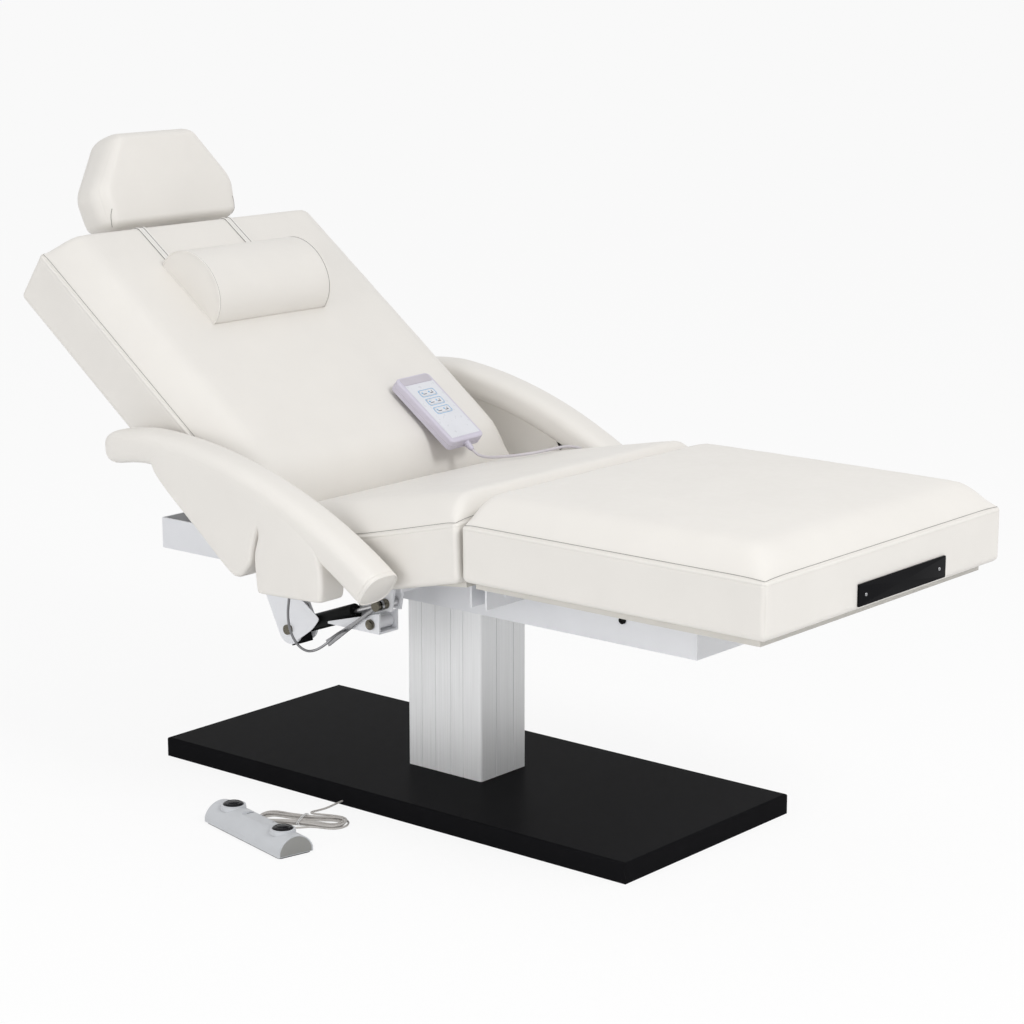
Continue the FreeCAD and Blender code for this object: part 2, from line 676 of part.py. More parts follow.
# Armrests: a bowed pad along an arc, a padded panel below it and a pivot bar from the seat bearer
def make_arms():
    for name, side in (("near", -1), ("far", 1)):
        wires = []
        for step in range(arm_steps + 1):
            share = step / arm_steps
            angle = arm_from + (arm_to - arm_from) * share
            ease = 1.0 - 0.22 * max(0.0, abs(share - 0.5) * 2 - 0.72) / 0.28
            half_y = arm_wide / 2 * ease
            half_h = arm_thick / 2 * ease
            cut = half_h * 0.62
            ring = ((-half_y, -cut), (-half_y, cut), (-half_y + cut, half_h), (half_y - cut, half_h),
                    (half_y, cut), (half_y, -cut), (half_y - cut, -half_h), (-half_y + cut, -half_h))
            middle = side * (arm_inner + arm_wide / 2)
            corners = []
            for dy, dh in ring:
                x, z = arc_point(angle, dh)
                corners.append(V(x, middle + dy, z))
            wires.append(Part.makePolygon(corners + corners[:1]))
        pad = Part.makeLoft(wires, True, True)
        nodes["arm_pad_" + name] = pad
        inner = side * (arm_inner + 12)
        outer = side * (arm_inner + 12 + panel_thick)
        y0 = min(inner, outer)
        y1 = max(inner, outer)
        chord = math.cos(math.radians((arm_to - arm_from) / arm_steps / 2))
        under = (arm_radius - arm_thick / 2) * chord - panel_gap
        sweep = cross_rod(arm_centre_x, arm_centre_z, y0 - 1, y1 + 1, under)
        plates = []
        for shape in (flap_corners, block_corners):
            plate = prism([(arm_pivot_x + x, arm_pivot_z + z) for x, z in shape], y0, y1)
            edges = [e for e in plate.Edges if abs(e.tangentAt(e.FirstParameter).y) < 0.1
                     and abs(e.CenterOfMass.y) > arm_inner + 12 + panel_thick - 0.5]
            plates.append(plate.makeFillet(panel_round, edges).common(sweep))
        blind = side * (arm_inner + 12 + panel_thick - 3)
        bore = cross_rod(arm_pivot_x, arm_pivot_z, min(inner - side, blind), max(inner - side, blind),
                         arm_pivot_radius + pin_clear)
        nodes["arm_panel_" + name] = Part.makeCompound([plates[0], plates[1].cut(bore)])
        if side > 0:
            for part in ("arm_pad_far", "arm_panel_far"):
                nodes[part].rotate(V(arm_pivot_x, 0, arm_pivot_z), V(0, 1, 0), arm_far_raise)
        bearer_end = side * bearer_half
        bar_end = side * (arm_inner + 10)
        x0 = bearer_places[0]
        bar = box(x0, x0 + arm_bar_long, min(bearer_end, bar_end), max(bearer_end, bar_end),
                  tray_top + 1, tray_top + 1 + arm_bar_high)
        cheek = box(arm_pivot_x - arm_cheek_rear, arm_pivot_x + 20, min(bar_end, bar_end - side * 6),
                    max(bar_end, bar_end - side * 6), tray_top + 1, arm_pivot_z + 18)
        pin_end = side * (arm_inner + 12 + panel_thick - 4)
        pin = cross_rod(arm_pivot_x, arm_pivot_z, min(bar_end, pin_end), max(bar_end, pin_end),
                        arm_pivot_radius)
        nodes["arm_bracket_" + name] = bar.fuse(cheek).fuse(pin)


# Head support: two sockets in the back, sliding rods, a tilting board and its pillow
def make_head():
    sockets = []
    rods = []
    end = back_start + back_length
    axis_h = board_thick + 24
    for side in (-1, 1):
        y = side * rod_half
        outer = rod(back_point(end - socket_length, y, axis_h), back_point(end - 2, y, axis_h), socket_radius)
        bore = rod(back_point(end - socket_length - 5, y, axis_h), back_point(end + 5, y, axis_h),
                   rod_radius + pin_clear)
        sockets.append(outer.cut(bore))
        rods.append(rod(back_point(end - socket_length + 4, y, axis_h),
                        back_point(end - socket_length + rod_length, y, axis_h), rod_radius))
    nodes["head_sockets"] = Part.makeCompound(sockets)
    room = [rod(back_point(end - socket_length - 4, s * rod_half, axis_h),
                back_point(end + 12, s * rod_half, axis_h), socket_radius + slide_clear) for s in (-1, 1)]
    nodes["back_cushion"] = nodes["back_cushion"].cut(room[0]).cut(room[1])
    tip = end - socket_length + rod_length
    bar = prism((on_back(tip, axis_h - 11), on_back(tip + 16, axis_h - 11), on_back(tip + 16, axis_h + 11),
                 on_back(tip, axis_h + 11)), -rod_half - 20, rod_half + 20)
    yoke = bar.fuse(rods)
    pivot_x, pivot_z = on_back(tip + 30, axis_h + 6)
    ears = []
    for side in (-1, 1):
        y = side * (rod_half - 20)
        ear = prism((on_back(tip + 16, axis_h - 10), on_back(tip + 40, axis_h - 4),
                     on_back(tip + 40, axis_h + 14), on_back(tip + 16, axis_h + 10)), y - 4, y + 4)
        ears.append(ear)
    pin = cross_rod(pivot_x, pivot_z, -rod_half, rod_half, head_pin_radius)
    nodes["head_yoke"] = yoke.fuse(ears).fuse(pin)
    return pivot_x, pivot_z


def pillow_frame(s, w):
    # s along the pillow from its lower edge, w out of its rear face.
    turn = math.radians(head_tilt)
    t = head_t + s * math.cos(turn) - w * math.sin(turn)
    h = back_thick + 24 + s * math.sin(turn) + w * math.cos(turn)
    return on_back(t, h)


def ring_loft(rings):
    wires = [Part.makePolygon(ring + ring[:1]) for ring in rings]
    return Part.makeLoft(wires, True, True)


def eight_sided(half_y, half_w, cut):
    # Corners of a chamfered rectangle, as (across, out) pairs.
    return ((-half_y, -half_w + cut), (-half_y, half_w - cut), (-half_y + cut, half_w),
            (half_y - cut, half_w), (half_y, half_w - cut), (half_y, -half_w + cut),
            (half_y - cut, -half_w), (-half_y + cut, -half_w))


# Pillow that is wide below and narrow above, on a board that tilts on the head pin
def make_pillow(pivot_x, pivot_z):
    rings = []
    for share, width, fill in ((0.0, 0.80, 0.62), (0.14, 0.94, 0.92), (0.36, 1.0, 1.0), (0.70, 0.80, 0.96),
                               (0.92, 0.62, 0.80), (1.0, 0.52, 0.52)):
        half_w = pillow_thick / 2 * fill
        ring = []
        for across, out in eight_sided(pillow_half * width, half_w, half_w * 0.6):
            x, z = pillow_frame(pillow_length * share, out - pillow_thick / 2)
            ring.append(V(x, across, z))
        rings.append(ring)
    nodes["head_pillow"] = ring_loft(rings)
    rear = -pillow_thick - slide_clear
    board = prism((pillow_frame(26, rear), pillow_frame(170, rear), pillow_frame(170, rear - 12),
                   pillow_frame(26, rear - 12)), -rod_half, rod_half)
    for side in (-1, 1):
        y = side * (rod_half - 34)
        lug = prism((pillow_frame(26, rear), pillow_frame(60, rear), (pivot_x - 9, pivot_z - 4),
                     (pivot_x + 9, pivot_z - 4)), y - 6, y + 6)
        board = board.fuse(lug).fuse(cross_rod(pivot_x, pivot_z, y - 6, y + 6, 10))
    pin_hole = cross_rod(pivot_x, pivot_z, -rod_half, rod_half, head_pin_radius + pin_clear)
    nodes["head_board"] = board.cut(pin_hole)


def set_down(shape, carrier):
    # Lower a piece along the normal of the back until it lies just clear of what carries it.
    copy = shape.copy()
    for _ in range(6):
        gap = copy.distToShape(carrier)[0] - slide_clear
        copy.translate(V(-back_up[0] * gap, 0, -back_up[1] * gap))
    return copy


# Half-round neck bolster held by two straps over the head end
def make_bolster():
    rings = []
    low = back_thick + back_crown * 0.9
    for share, size in ((-1.0, 0.93), (-0.86, 1.0), (0.86, 1.0), (1.0, 0.93)):
        y = bolster_y + bolster_half * share
        half = bolster_base / 2 * size
        ring = [back_point(bolster_t - half, y, low), back_point(bolster_t + half, y, low)]
        for angle in (18, 45, 75, 105, 135, 162):
            a = math.radians(angle)
            high = low + bolster_high * size * math.sin(a)
            ring.append(back_point(bolster_t + half * math.cos(a), y, high))
        rings.append(ring)
    nodes["neck_bolster"] = ring_loft(rings).cut(nodes["back_cushion"])
    straps = []
    end = back_start + back_length + 5
    top = back_thick + back_crown + 4 + strap_thick
    for y in strap_places:
        strap = prism((on_back(bolster_t + bolster_base / 2 - 12, top), on_back(end + strap_thick, top - 2),
                       on_back(end + strap_thick, 60), on_back(end, 60), on_back(end, top - 2 - strap_thick),
                       on_back(bolster_t + bolster_base / 2 - 12, top - strap_thick)),
                      bolster_y + y, bolster_y + y + strap_wide)
        straps.append(strap.cut(nodes["neck_bolster"]).cut(nodes["back_cushion"]))
    nodes["bolster_straps"] = Part.makeCompound(straps)


# Hand control: rounded shell with three wells, a rocker key in each, and a relief where the cord leaves
def make_hand_control():
    half = hand_wide / 2
    shell = rounded_box(-hand_long / 2, hand_long / 2, -half, half, 0, hand_thick, 12)
    rim = [e for e in shell.Edges if e.BoundBox.ZMin > hand_thick - 0.01 or e.BoundBox.ZMax < 0.01]
    shell = shell.makeFillet(4, rim)
    keys = []
    for row in range(3):
        x = -hand_long * 0.22 + row * (key_long + key_space)
        well = box(x - key_long / 2 - key_clear, x + key_long / 2 + key_clear, -key_wide / 2 - key_clear,
                   key_wide / 2 + key_clear, hand_thick - key_well - key_room, hand_thick + 1)
        shell = shell.cut(well)
        key = rounded_box(x - key_long / 2, x + key_long / 2, -key_wide / 2, key_wide / 2,
                          hand_thick - key_well, hand_thick - key_well + key_high, 3)
        axis_z = hand_thick - key_well - 0.2
        reach = key_long / 2 + key_axle
        rib = rod(V(x - reach, 0, axis_z), V(x + reach, 0, axis_z), key_rib)
        keys.append(key.fuse(rib))
        shell = shell.cut(rod(V(x - reach - key_clear, 0, axis_z), V(x + reach + key_clear, 0, axis_z),
                              key_rib + pin_clear))
    relief = Part.makeCone(7, 4.2, relief_long, V(hand_long / 2, 0, hand_thick / 2), V(1, 0, 0))
    whole = shell.fuse(relief)
    pieces = [whole] + keys
    placed = []
    for piece in pieces:
        piece.rotate(V(0, 0, 0), V(0, 0, 1), hand_turn)
        piece.translate(V(-hand_t, hand_y, back_thick + back_crown + 20))
        placed.append(lay_on_back(piece))
    lowered = set_down(placed[0], nodes["back_cushion"])
    shift = lowered.BoundBox.Center.sub(placed[0].BoundBox.Center)
    nodes["hand_control"] = lowered
    for count, key in enumerate(placed[1:]):
        key.translate(shift)
        nodes["hand_key_" + str(count + 1)] = key
    tip = V(hand_long / 2 + relief_long + relief_gap, 0, hand_thick / 2)
    turn = math.radians(hand_turn)
    local = V(tip.x * math.cos(turn) - hand_t, tip.x * math.sin(turn) + hand_y,
              tip.z + back_thick + back_crown + 20)
    start = back_point(-local.x, local.y, local.z).add(shift)
    axis = V(-back_dir[0] * math.cos(turn), math.sin(turn), -back_dir[1] * math.cos(turn))
    return [start, start.add(axis.multiply(relief_lead))]


def cord(points, radius):
    # A tube on straight runs and tangent arcs, each arc as large as its two runs allow.
    runs = [points[i + 1].sub(points[i]) for i in range(len(points) - 1)]
    edges = []
    radii = []
    last = points[0]
    for i in range(1, len(points) - 1):
        before = V(runs[i - 1]).normalize()
        after = V(runs[i]).normalize()
        half = before.getAngle(after) / 2
        reach = 0.45 * min(runs[i - 1].Length, runs[i].Length)
        radii.append(reach / math.tan(half))
        start = points[i].sub(V(before).multiply(reach))
        end = points[i].add(V(after).multiply(reach))
        inward = V(after).sub(before).normalize()
        bulge = reach / math.tan(half) * (1 / math.cos(half) - 1)
        edges.append(Part.LineSegment(last, start).toShape())
        edges.append(Part.Arc(start, points[i].add(inward.multiply(bulge)), end).toShape())
        last = end
    edges.append(Part.LineSegment(last, points[-1]).toShape())
    path = Part.Wire(edges)
    circle = Part.Wire(Part.makeCircle(radius, points[0], runs[0]))
    tube = path.makePipeShell([circle], True, False)
    share = tube.Volume / (math.pi * radius * radius * path.Length)
    print("cord", round(path.Length), "mm, least radius", round(min(radii), 1), "share", round(share, 3))
    return tube


# Foot control: low bowed housing on a sole, with two round pedals
def make_foot_control():
    half = foot_wide / 2
    arch = [V(-foot_long / 2, -half, foot_sole), V(-foot_long / 2, half, foot_sole),
            V(-foot_long / 2, half, foot_sole + 9), V(-foot_long / 2, -half, foot_sole + 9)]
    wire = Part.Wire([Part.LineSegment(arch[0], arch[1]).toShape(),
                      Part.LineSegment(arch[1], arch[2]).toShape(),
                      Part.Arc(arch[2], V(-foot_long / 2, 0, foot_high), arch[3]).toShape(),
                      Part.LineSegment(arch[3], arch[0]).toShape()])
    housing = Part.Face(wire).extrude(V(foot_long, 0, 0))
    pieces = {}
    for name, side in (("head", -1), ("foot", 1)):
        x = side * pedal_place
        boss = rod(V(x, 0, foot_sole + 6), V(x, 0, foot_high + 2), pedal_radius + 5)
        housing = housing.fuse(boss)
        well = rod(V(x, 0, foot_high - pedal_sunk), V(x, 0, foot_high + 9), pedal_radius + pedal_clear)
        housing = housing.cut(well)
        pedal_low = foot_high - pedal_sunk + 5
        pedal = rod(V(x, 0, pedal_low), V(x, 0, pedal_low + pedal_high * 0.6), pedal_radius)
        rim = [e for e in pedal.Edges if e.BoundBox.ZMin > foot_high]
        pieces["foot_pedal_" + name] = pedal.makeFillet(2, rim)
    panel_half = pedal_place * 0.45
    panel = box(-panel_half, panel_half, -half * 0.3, half + 1, foot_high - 2.5, foot_high + 3)
    pieces["foot_housing"] = housing.cut(panel)
    sole_half = foot_long / 2 - 3
    pieces["foot_sole"] = rounded_box(-sole_half, sole_half, -half + 3, half - 3, 0, foot_sole, 6)
    for name, piece in pieces.items():
        piece.rotate(V(0, 0, 0), V(0, 0, 1), foot_turn)
        piece.translate(V(foot_x, foot_y, 0))
        nodes[name] = piece


def foot_point(x, y, z):
    a = math.radians(foot_turn)
    return V(foot_x + x * math.cos(a) - y * math.sin(a), foot_y + x * math.sin(a) + y * math.cos(a), z)


def self_gap(points, radius):
    # Least clear distance between stretches of a cord that are well apart along it.
    fine = []
    for a, b in zip(points, points[1:]):
        fine += [a.add(b.sub(a).multiply(k / 6)) for k in range(6)]
    pairs = [p.distanceToPoint(q) for i, p in enumerate(fine) for q in fine[i + 24:]]
    return min(pairs) - 2 * radius


def hank_point(step):
    # Oblong turns that close in on the lower layer and open out again on the upper one: four points
    # round each end, and two along each side that are drawn in a little at the waist.
    inward = hank_pitch * min(step, hank_steps - step) / 12
    radius = hank_round - inward
    place = step % 12
    if place in (0, 5, 6, 11):
        x = hank_half_straight / 2 * (1 if place in (0, 5) else -1)
        y = (radius - hank_waist) * (1 if place in (5, 6) else -1)
    else:
        end = 1 if place < 5 else -1
        a = math.radians(-67.5 + 45 * (place - 1 if place < 5 else place - 7))
        x = end * (hank_half_straight + radius * math.cos(a))
        y = end * radius * math.sin(a)
    level = hank_layer if step > hank_steps / 2 else 0.0
    ca = math.cos(math.radians(hank_turn))
    sa = math.sin(math.radians(hank_turn))
    return V(hank_x + x * ca - y * sa, hank_y + x * sa + y * ca, foot_cord_radius + 0.2 + level)


# Cords: the hand control's lead into the frame, the foot control's hank and tail, the release cable
def make_cords(start, cable_start):
    lead = start + [V(*p) for p in hand_cord_route]
    nodes["hand_cord"] = cord(lead, hand_cord_radius)
    print("hand cord starts", [tuple(round(c, 2) for c in p) for p in lead[:2]])
    end = lead[-1]
    gland = rod(end, V(end.x, tray_half, end.z), gland_radius)
    nodes["cord_gland"] = gland
    hank = [foot_point(14, foot_wide / 2 - 0.2, 10)] + [V(*p) for p in foot_lead_route]
    hank += [hank_point(step) for step in range(hank_steps + 1)]
    print("hank least gap to itself", round(self_gap(hank, foot_cord_radius), 2))
    nodes["foot_cord_hank"] = cord(hank, foot_cord_radius)
    nodes["foot_cord_tail"] = cord([hank[-1]] + [V(*p) for p in foot_tail_route], foot_cord_radius)
    end = V(arm_pivot_x - arm_cheek_rear / 2 - 6, -(arm_inner + 7), tray_top + 1)
    nodes["release_cable"] = cord([cable_start] + [V(*p) for p in cable_route] + [end], cable_radius)


make_base()
make_column()
make_tray()
make_seat()
make_back()
cable_start = make_spring()
make_leg()
make_arms()
make_pillow(*make_head())
make_bolster()
cord_start = make_hand_control()
make_foot_control()
make_cords(cord_start, cable_start)

for name, shape in nodes.items():
    bad = [s for s in shape.Solids if not s.isValid() or s.Volume <= 0]
    print(name, len(shape.Solids), "solids", round(shape.Volume), "bad" if bad or not shape.Solids else "ok")
    shape.exportStep("parts/" + name + ".step")
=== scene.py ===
import math

import bmesh
import bpy
import numpy as np
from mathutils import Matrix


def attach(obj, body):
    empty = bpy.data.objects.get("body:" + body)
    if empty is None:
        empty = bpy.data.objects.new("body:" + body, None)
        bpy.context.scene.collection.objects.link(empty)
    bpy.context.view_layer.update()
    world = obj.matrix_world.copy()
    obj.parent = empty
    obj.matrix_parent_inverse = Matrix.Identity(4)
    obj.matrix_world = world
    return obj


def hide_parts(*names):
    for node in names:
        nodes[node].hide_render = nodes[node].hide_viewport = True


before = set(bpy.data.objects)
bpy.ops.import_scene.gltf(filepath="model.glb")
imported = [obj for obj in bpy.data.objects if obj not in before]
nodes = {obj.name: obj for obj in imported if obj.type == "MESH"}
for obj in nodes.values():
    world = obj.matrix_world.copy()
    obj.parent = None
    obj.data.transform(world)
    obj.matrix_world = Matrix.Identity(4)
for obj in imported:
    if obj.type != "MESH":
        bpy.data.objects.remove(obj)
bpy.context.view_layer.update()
print("frame loaded with", len(nodes), "nodes")


# camera, light and floor of the studio

studio = {"eye": (3.3959, -3.9274, 1.7043), "turn": 39.8536, "tilt": 12.4347, "lens": 94.92, "sensor": 36,
          "farClip": 260, "worldStrength": 0.62, "floorWhite": 0.88, "floorTone": 0.9, "floorReach": 90.0,
          "floorLevel": -0.0006}
lamps = {
    "keySoft": {"place": (0.0, -4.8, 1.5), "target": (0, 0, 0.6), "size": 2.4, "power": 54},
    "fillSoft": {"place": (4.0, -0.6, 3.8), "target": (-0.1, 0, 0.7), "size": 1.6, "power": 100},
    "topSoft": {"place": (-0.6, 0.6, 4.4), "target": (0, 0, 0.6), "size": 3.0, "power": 10},
}


def newObject(name, data):
    made = bpy.data.objects.new(name, data)
    bpy.context.scene.collection.objects.link(made)
    return made


def addNode(tree, kind, values=(), links=()):
    # one shader node, with some inputs set to values and some fed by other nodes
    node = tree.nodes.new("ShaderNode" + kind)
    for key, value in dict(values).items():
        node.inputs[key].default_value = value
    for key, source in dict(links).items():
        tree.links.new(source, node.inputs[key])
    return node


def setCamera():
    data = bpy.data.cameras.new("tableCamera")
    data.lens = studio["lens"]
    data.sensor_width = studio["sensor"]
    data.clip_end = studio["farClip"]
    view = newObject("tableCamera", data)
    view.location = studio["eye"]
    view.rotation_euler = (math.radians(90 - studio["tilt"]), 0, math.radians(studio["turn"]))
    bpy.context.scene.camera = view


def seenRay(tree):
    # one for rays from the camera and for rays that metal or glass sends on, nought for the rest
    path = addNode(tree, "LightPath").outputs
    both = addNode(tree, "Math", links={0: path["Is Camera Ray"], 1: path["Is Glossy Ray"]})
    both.operation = "MAXIMUM"
    three = addNode(tree, "Math", links={0: both.outputs[0], 1: path["Is Transmission Ray"]})
    three.operation = "MAXIMUM"
    return three.outputs[0]


def setWorld():
    world = bpy.data.worlds.new("studioWhite")
    bpy.context.scene.world = world
    world.use_nodes = True
    tree = world.node_tree
    tree.nodes.clear()
    light = addNode(tree, "Background", {"Color": (1, 1, 1, 1), "Strength": studio["worldStrength"]})
    white = addNode(tree, "Background", {"Color": (1, 1, 1, 1), "Strength": 1.0})
    mix = addNode(tree, "MixShader", links={0: seenRay(tree), 1: light.outputs[0], 2: white.outputs[0]})
    addNode(tree, "OutputWorld", links={"Surface": mix.outputs[0]})


def softLamp(name, cfg):
    data = bpy.data.lights.new(name, "AREA")
    data.shape = "DISK"
    data.size = cfg["size"]
    data.energy = cfg["power"]
    lamp = newObject(name, data)
    lamp.location = cfg["place"]
    aim = np.array(cfg["target"]) - np.array(cfg["place"])
    lamp.rotation_euler = (math.atan2(math.hypot(aim[0], aim[1]), -aim[2]), 0, math.atan2(-aim[0], aim[1]))


def setFloor():
    mesh = bpy.data.meshes.new("studioFloor")
    reach = studio["floorReach"]
    corners = ((-reach, -reach), (reach, -reach), (reach, reach), (-reach, reach))
    mesh.from_pydata([(x, y, studio["floorLevel"]) for x, y in corners], [], [(0, 1, 2, 3)])
    floor = newObject("studioFloor", mesh)
    mat = bpy.data.materials.new("studioFloorPaint")
    mat.use_nodes = True
    tree = mat.node_tree
    tree.nodes.clear()
    matt = addNode(tree, "BsdfDiffuse", {"Color": (*[studio["floorTone"]] * 3, 1)})
    glow = addNode(tree, "Emission", {"Strength": 1.0})
    share = addNode(tree, "Math", {1: studio["floorWhite"]}, {0: seenRay(tree)})
    share.operation = "MULTIPLY"
    mix = addNode(tree, "MixShader", links={0: share.outputs[0], 1: matt.outputs[0], 2: glow.outputs[0]})
    addNode(tree, "OutputMaterial", links={"Surface": mix.outputs[0]})
    mesh.materials.append(mat)


setCamera()
setWorld()
for name, cfg in lamps.items():
    softLamp(name, cfg)
setFloor()
bpy.context.scene.view_settings.view_transform = "Standard"
print("studio set")


# finishes: noise scales are in waves per metre and depths in metres; the cloud varies the tone, the grain the
# height and the gloss the roughness

looks = {
    "vinyl": {"cloud": (9.0, 4.0), "darkest": 0.975, "grain": (1500.0, 2.0), "depth": 0.00012,
              "strength": 0.55, "gloss": (60.0, 3.0), "smoother": 0.05, "rougher": 0.06, "shine": 0.4,
              "cells": 620.0, "poreShare": 0.35},
    "paint": {"cloud": (14.0, 3.0), "darkest": 0.96, "strength": 0.6, "gloss": (45.0, 3.0)},
    "brushed": {"cloud": (1.0, 5.0), "darkest": 0.9, "grain": (1.0, 5.0), "depth": 0.00003, "strength": 0.5,
                "gloss": (1.0, 5.0), "smoother": 0.06, "rougher": 0.08, "shine": 0.5},
    "moulded": {"cloud": (22.0, 3.0), "darkest": 0.95, "depth": 0.00005, "strength": 0.5,
                "gloss": (90.0, 3.0), "smoother": 0.04, "rougher": 0.06, "shine": 0.5},
}


def rangeOf(tree, value, low, high):
    # the noise's middle stretch spread from low to high
    limits = {"From Min": 0.3, "From Max": 0.7, "To Min": low, "To Max": high}
    return addNode(tree, "MapRange", limits, {"Value": value}).outputs["Result"]


def makeFinish(name, look, tone, rough, metal=0.0, stretch=(1, 1, 1)):
    mat = bpy.data.materials.new(name)
    mat.use_nodes = True
    tree = mat.node_tree
    shader = tree.nodes["Principled BSDF"]
    shader.inputs["Metallic"].default_value = metal
    shader.inputs["Specular IOR Level"].default_value = look["shine"]
    coords = addNode(tree, "TexCoord").outputs["Object"]
    coords = addNode(tree, "Mapping", {"Scale": stretch}, {"Vector": coords}).outputs["Vector"]
    noises = []
    for scale, detail in (look["cloud"], look["grain"], look["gloss"]):
        noise = addNode(tree, "TexNoise", {"Scale": scale, "Detail": detail}, {"Vector": coords})
        noises.append(noise.outputs["Fac"])
    cloud, height, gloss = noises
    # from the darkest share of the tone up to the tone itself
    blend = tree.nodes.new("ShaderNodeMix")
    blend.data_type = "RGBA"
    blend.inputs["A"].default_value = (*[t * look["darkest"] for t in tone], 1)
    blend.inputs["B"].default_value = (*tone, 1)
    tree.links.new(rangeOf(tree, cloud, 0, 1), blend.inputs["Factor"])
    if "cells" in look:
        # pebble grain: rounded cells with pores over them
        cells = addNode(tree, "TexVoronoi", {"Scale": look["cells"]}, {"Vector": coords})
        cells.feature = "SMOOTH_F1"
        both = addNode(tree, "Math", {1: look["poreShare"]}, {0: height, 2: cells.outputs["Distance"]})
        both.operation = "MULTIPLY_ADD"
        height = both.outputs[0]
    relief = {"Distance": look["depth"], "Strength": look["strength"]}
    bump = addNode(tree, "Bump", relief, {"Height": height})
    spread = rangeOf(tree, gloss, rough - look["smoother"], rough + look["rougher"])
    sources = {"Base Color": blend.outputs["Result"], "Normal": bump.outputs["Normal"], "Roughness": spread}
    for key, source in sources.items():
        tree.links.new(source, shader.inputs[key])
    return mat


def vinylFinish(name, tone, rough):
    return makeFinish(name, looks["vinyl"], tone, rough)


def paintFinish(name, tone, rough, peel=900.0, depth=0.00006, uneven=0.06, shine=0.5):
    # sprayed coat: a fine orange peel in the height and slightly uneven gloss
    own = {"grain": (peel, 2.0), "depth": depth, "smoother": uneven, "rougher": uneven, "shine": shine}
    return makeFinish(name, {**looks["paint"], **own}, tone, rough)


def brushedFinish(name, tone, rough, stretch, metal=1.0):
    # metal drawn in one direction: noise pulled out into long lines
    return makeFinish(name, looks["brushed"], tone, rough, metal, stretch)


def mouldedFinish(name, tone, rough, spark=1100.0):
    # moulded plastic: spark-eroded texture, faint mottling
    return makeFinish(name, {**looks["moulded"], "grain": (spark, 2.0)}, tone, rough)


finish = {
    "vinyl": vinylFinish("creamVinyl", (0.785, 0.76, 0.722), 0.46),
    "pillowVinyl": vinylFinish("pillowVinyl", (0.785, 0.76, 0.722), 0.5),
    "strap": vinylFinish("strapBand", (0.82, 0.80, 0.77), 0.5),
    "thread": mouldedFinish("creamThread", (0.74, 0.725, 0.68), 0.7, 3000.0),
    # painted shade: dark tone for the thin tubes laid in the seams, darts, bolster seams and band rims
    "seamShade": mouldedFinish("seamShade", (0.30, 0.295, 0.28), 0.8, 3000.0),
    "board": mouldedFinish("paintedBoard", (0.62, 0.6, 0.56), 0.6, 500.0),
    "frameWhite": paintFinish("trayWhite", (0.80, 0.81, 0.84), 0.36),
    "baseBlack": paintFinish("baseBlack", (0.009, 0.009, 0.010), 0.30, 1400.0, 0.00003, 0.012, 0.004),
    "plateBlack": paintFinish("plateBlack", (0.008, 0.008, 0.009), 0.3, 1400.0, 0.00003, 0.015, 0.02),
    "springBlack": paintFinish("springBlack", (0.009, 0.0095, 0.0095), 0.32, 900.0, 0.00006, 0.04, 0.05),
    "column": brushedFinish("columnAluminium", (0.94, 0.945, 0.95), 0.45, (620, 620, 6), 0.25),
    "steel": brushedFinish("pinSteel", (0.62, 0.62, 0.63), 0.3, (300, 300, 300)),
    "chrome": brushedFinish("leverChrome", (0.36, 0.36, 0.37), 0.24, (160, 160, 160)),
    "bolt": brushedFinish("boltPlate", (0.15, 0.138, 0.11), 0.3, (500, 500, 500)),
    "glide": mouldedFinish("glideNylon", (0.75, 0.75, 0.72), 0.5),
    "caseBlack": mouldedFinish("caseBlack", (0.03, 0.03, 0.034), 0.5),
    "handShell": mouldedFinish("handShell", (0.60, 0.57, 0.66), 0.38),
    "handTop": mouldedFinish("handTop", (0.53, 0.50, 0.55), 0.42),
    "handPanel": mouldedFinish("handPanel", (0.72, 0.73, 0.77), 0.3),
    "keyBlue": mouldedFinish("keyBlue", (0.17, 0.42, 0.68), 0.4),
    "keyInk": mouldedFinish("keyInk", (0.09, 0.10, 0.12), 0.5),
    "handCord": mouldedFinish("handCordGrey", (0.56, 0.53, 0.56), 0.42),
    "footShell": mouldedFinish("footSilver", (0.56, 0.575, 0.60), 0.33),
    "footEnd": mouldedFinish("footEndGrey", (0.26, 0.26, 0.25), 0.45),
    "footBlack": paintFinish("footButton", (0.008, 0.008, 0.010), 0.25, 1100.0, 0.00004, 0.04, 0.12),
    "footCord": mouldedFinish("footCordGrey", (0.56, 0.535, 0.51), 0.45),
    "tie": mouldedFinish("tieWhite", (0.82, 0.82, 0.82), 0.4),
    "cable": brushedFinish("cableSheath", (0.25, 0.25, 0.26), 0.34, (400, 400, 400)),
    "rubber": mouldedFinish("soleRubber", (0.03, 0.03, 0.03), 0.7),
}
print("finishes made:", len(finish))


# mesh tools

def gridFaces(rows, cols, wrapCols=False):
    # quads between neighbouring rows and columns of a grid numbered row by row
    i, j = np.meshgrid(np.arange(rows - 1), np.arange(cols if wrapCols else cols - 1), indexing="ij")
    k = (j + 1) % cols
    return np.stack((i * cols + j, (i + 1) * cols + j, (i + 1) * cols + k, i * cols + k), -1).reshape(-1, 4)


def settle(piece, body, slotName, replaced):
    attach(piece, body)
    if replaced:
        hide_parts(*replaced)


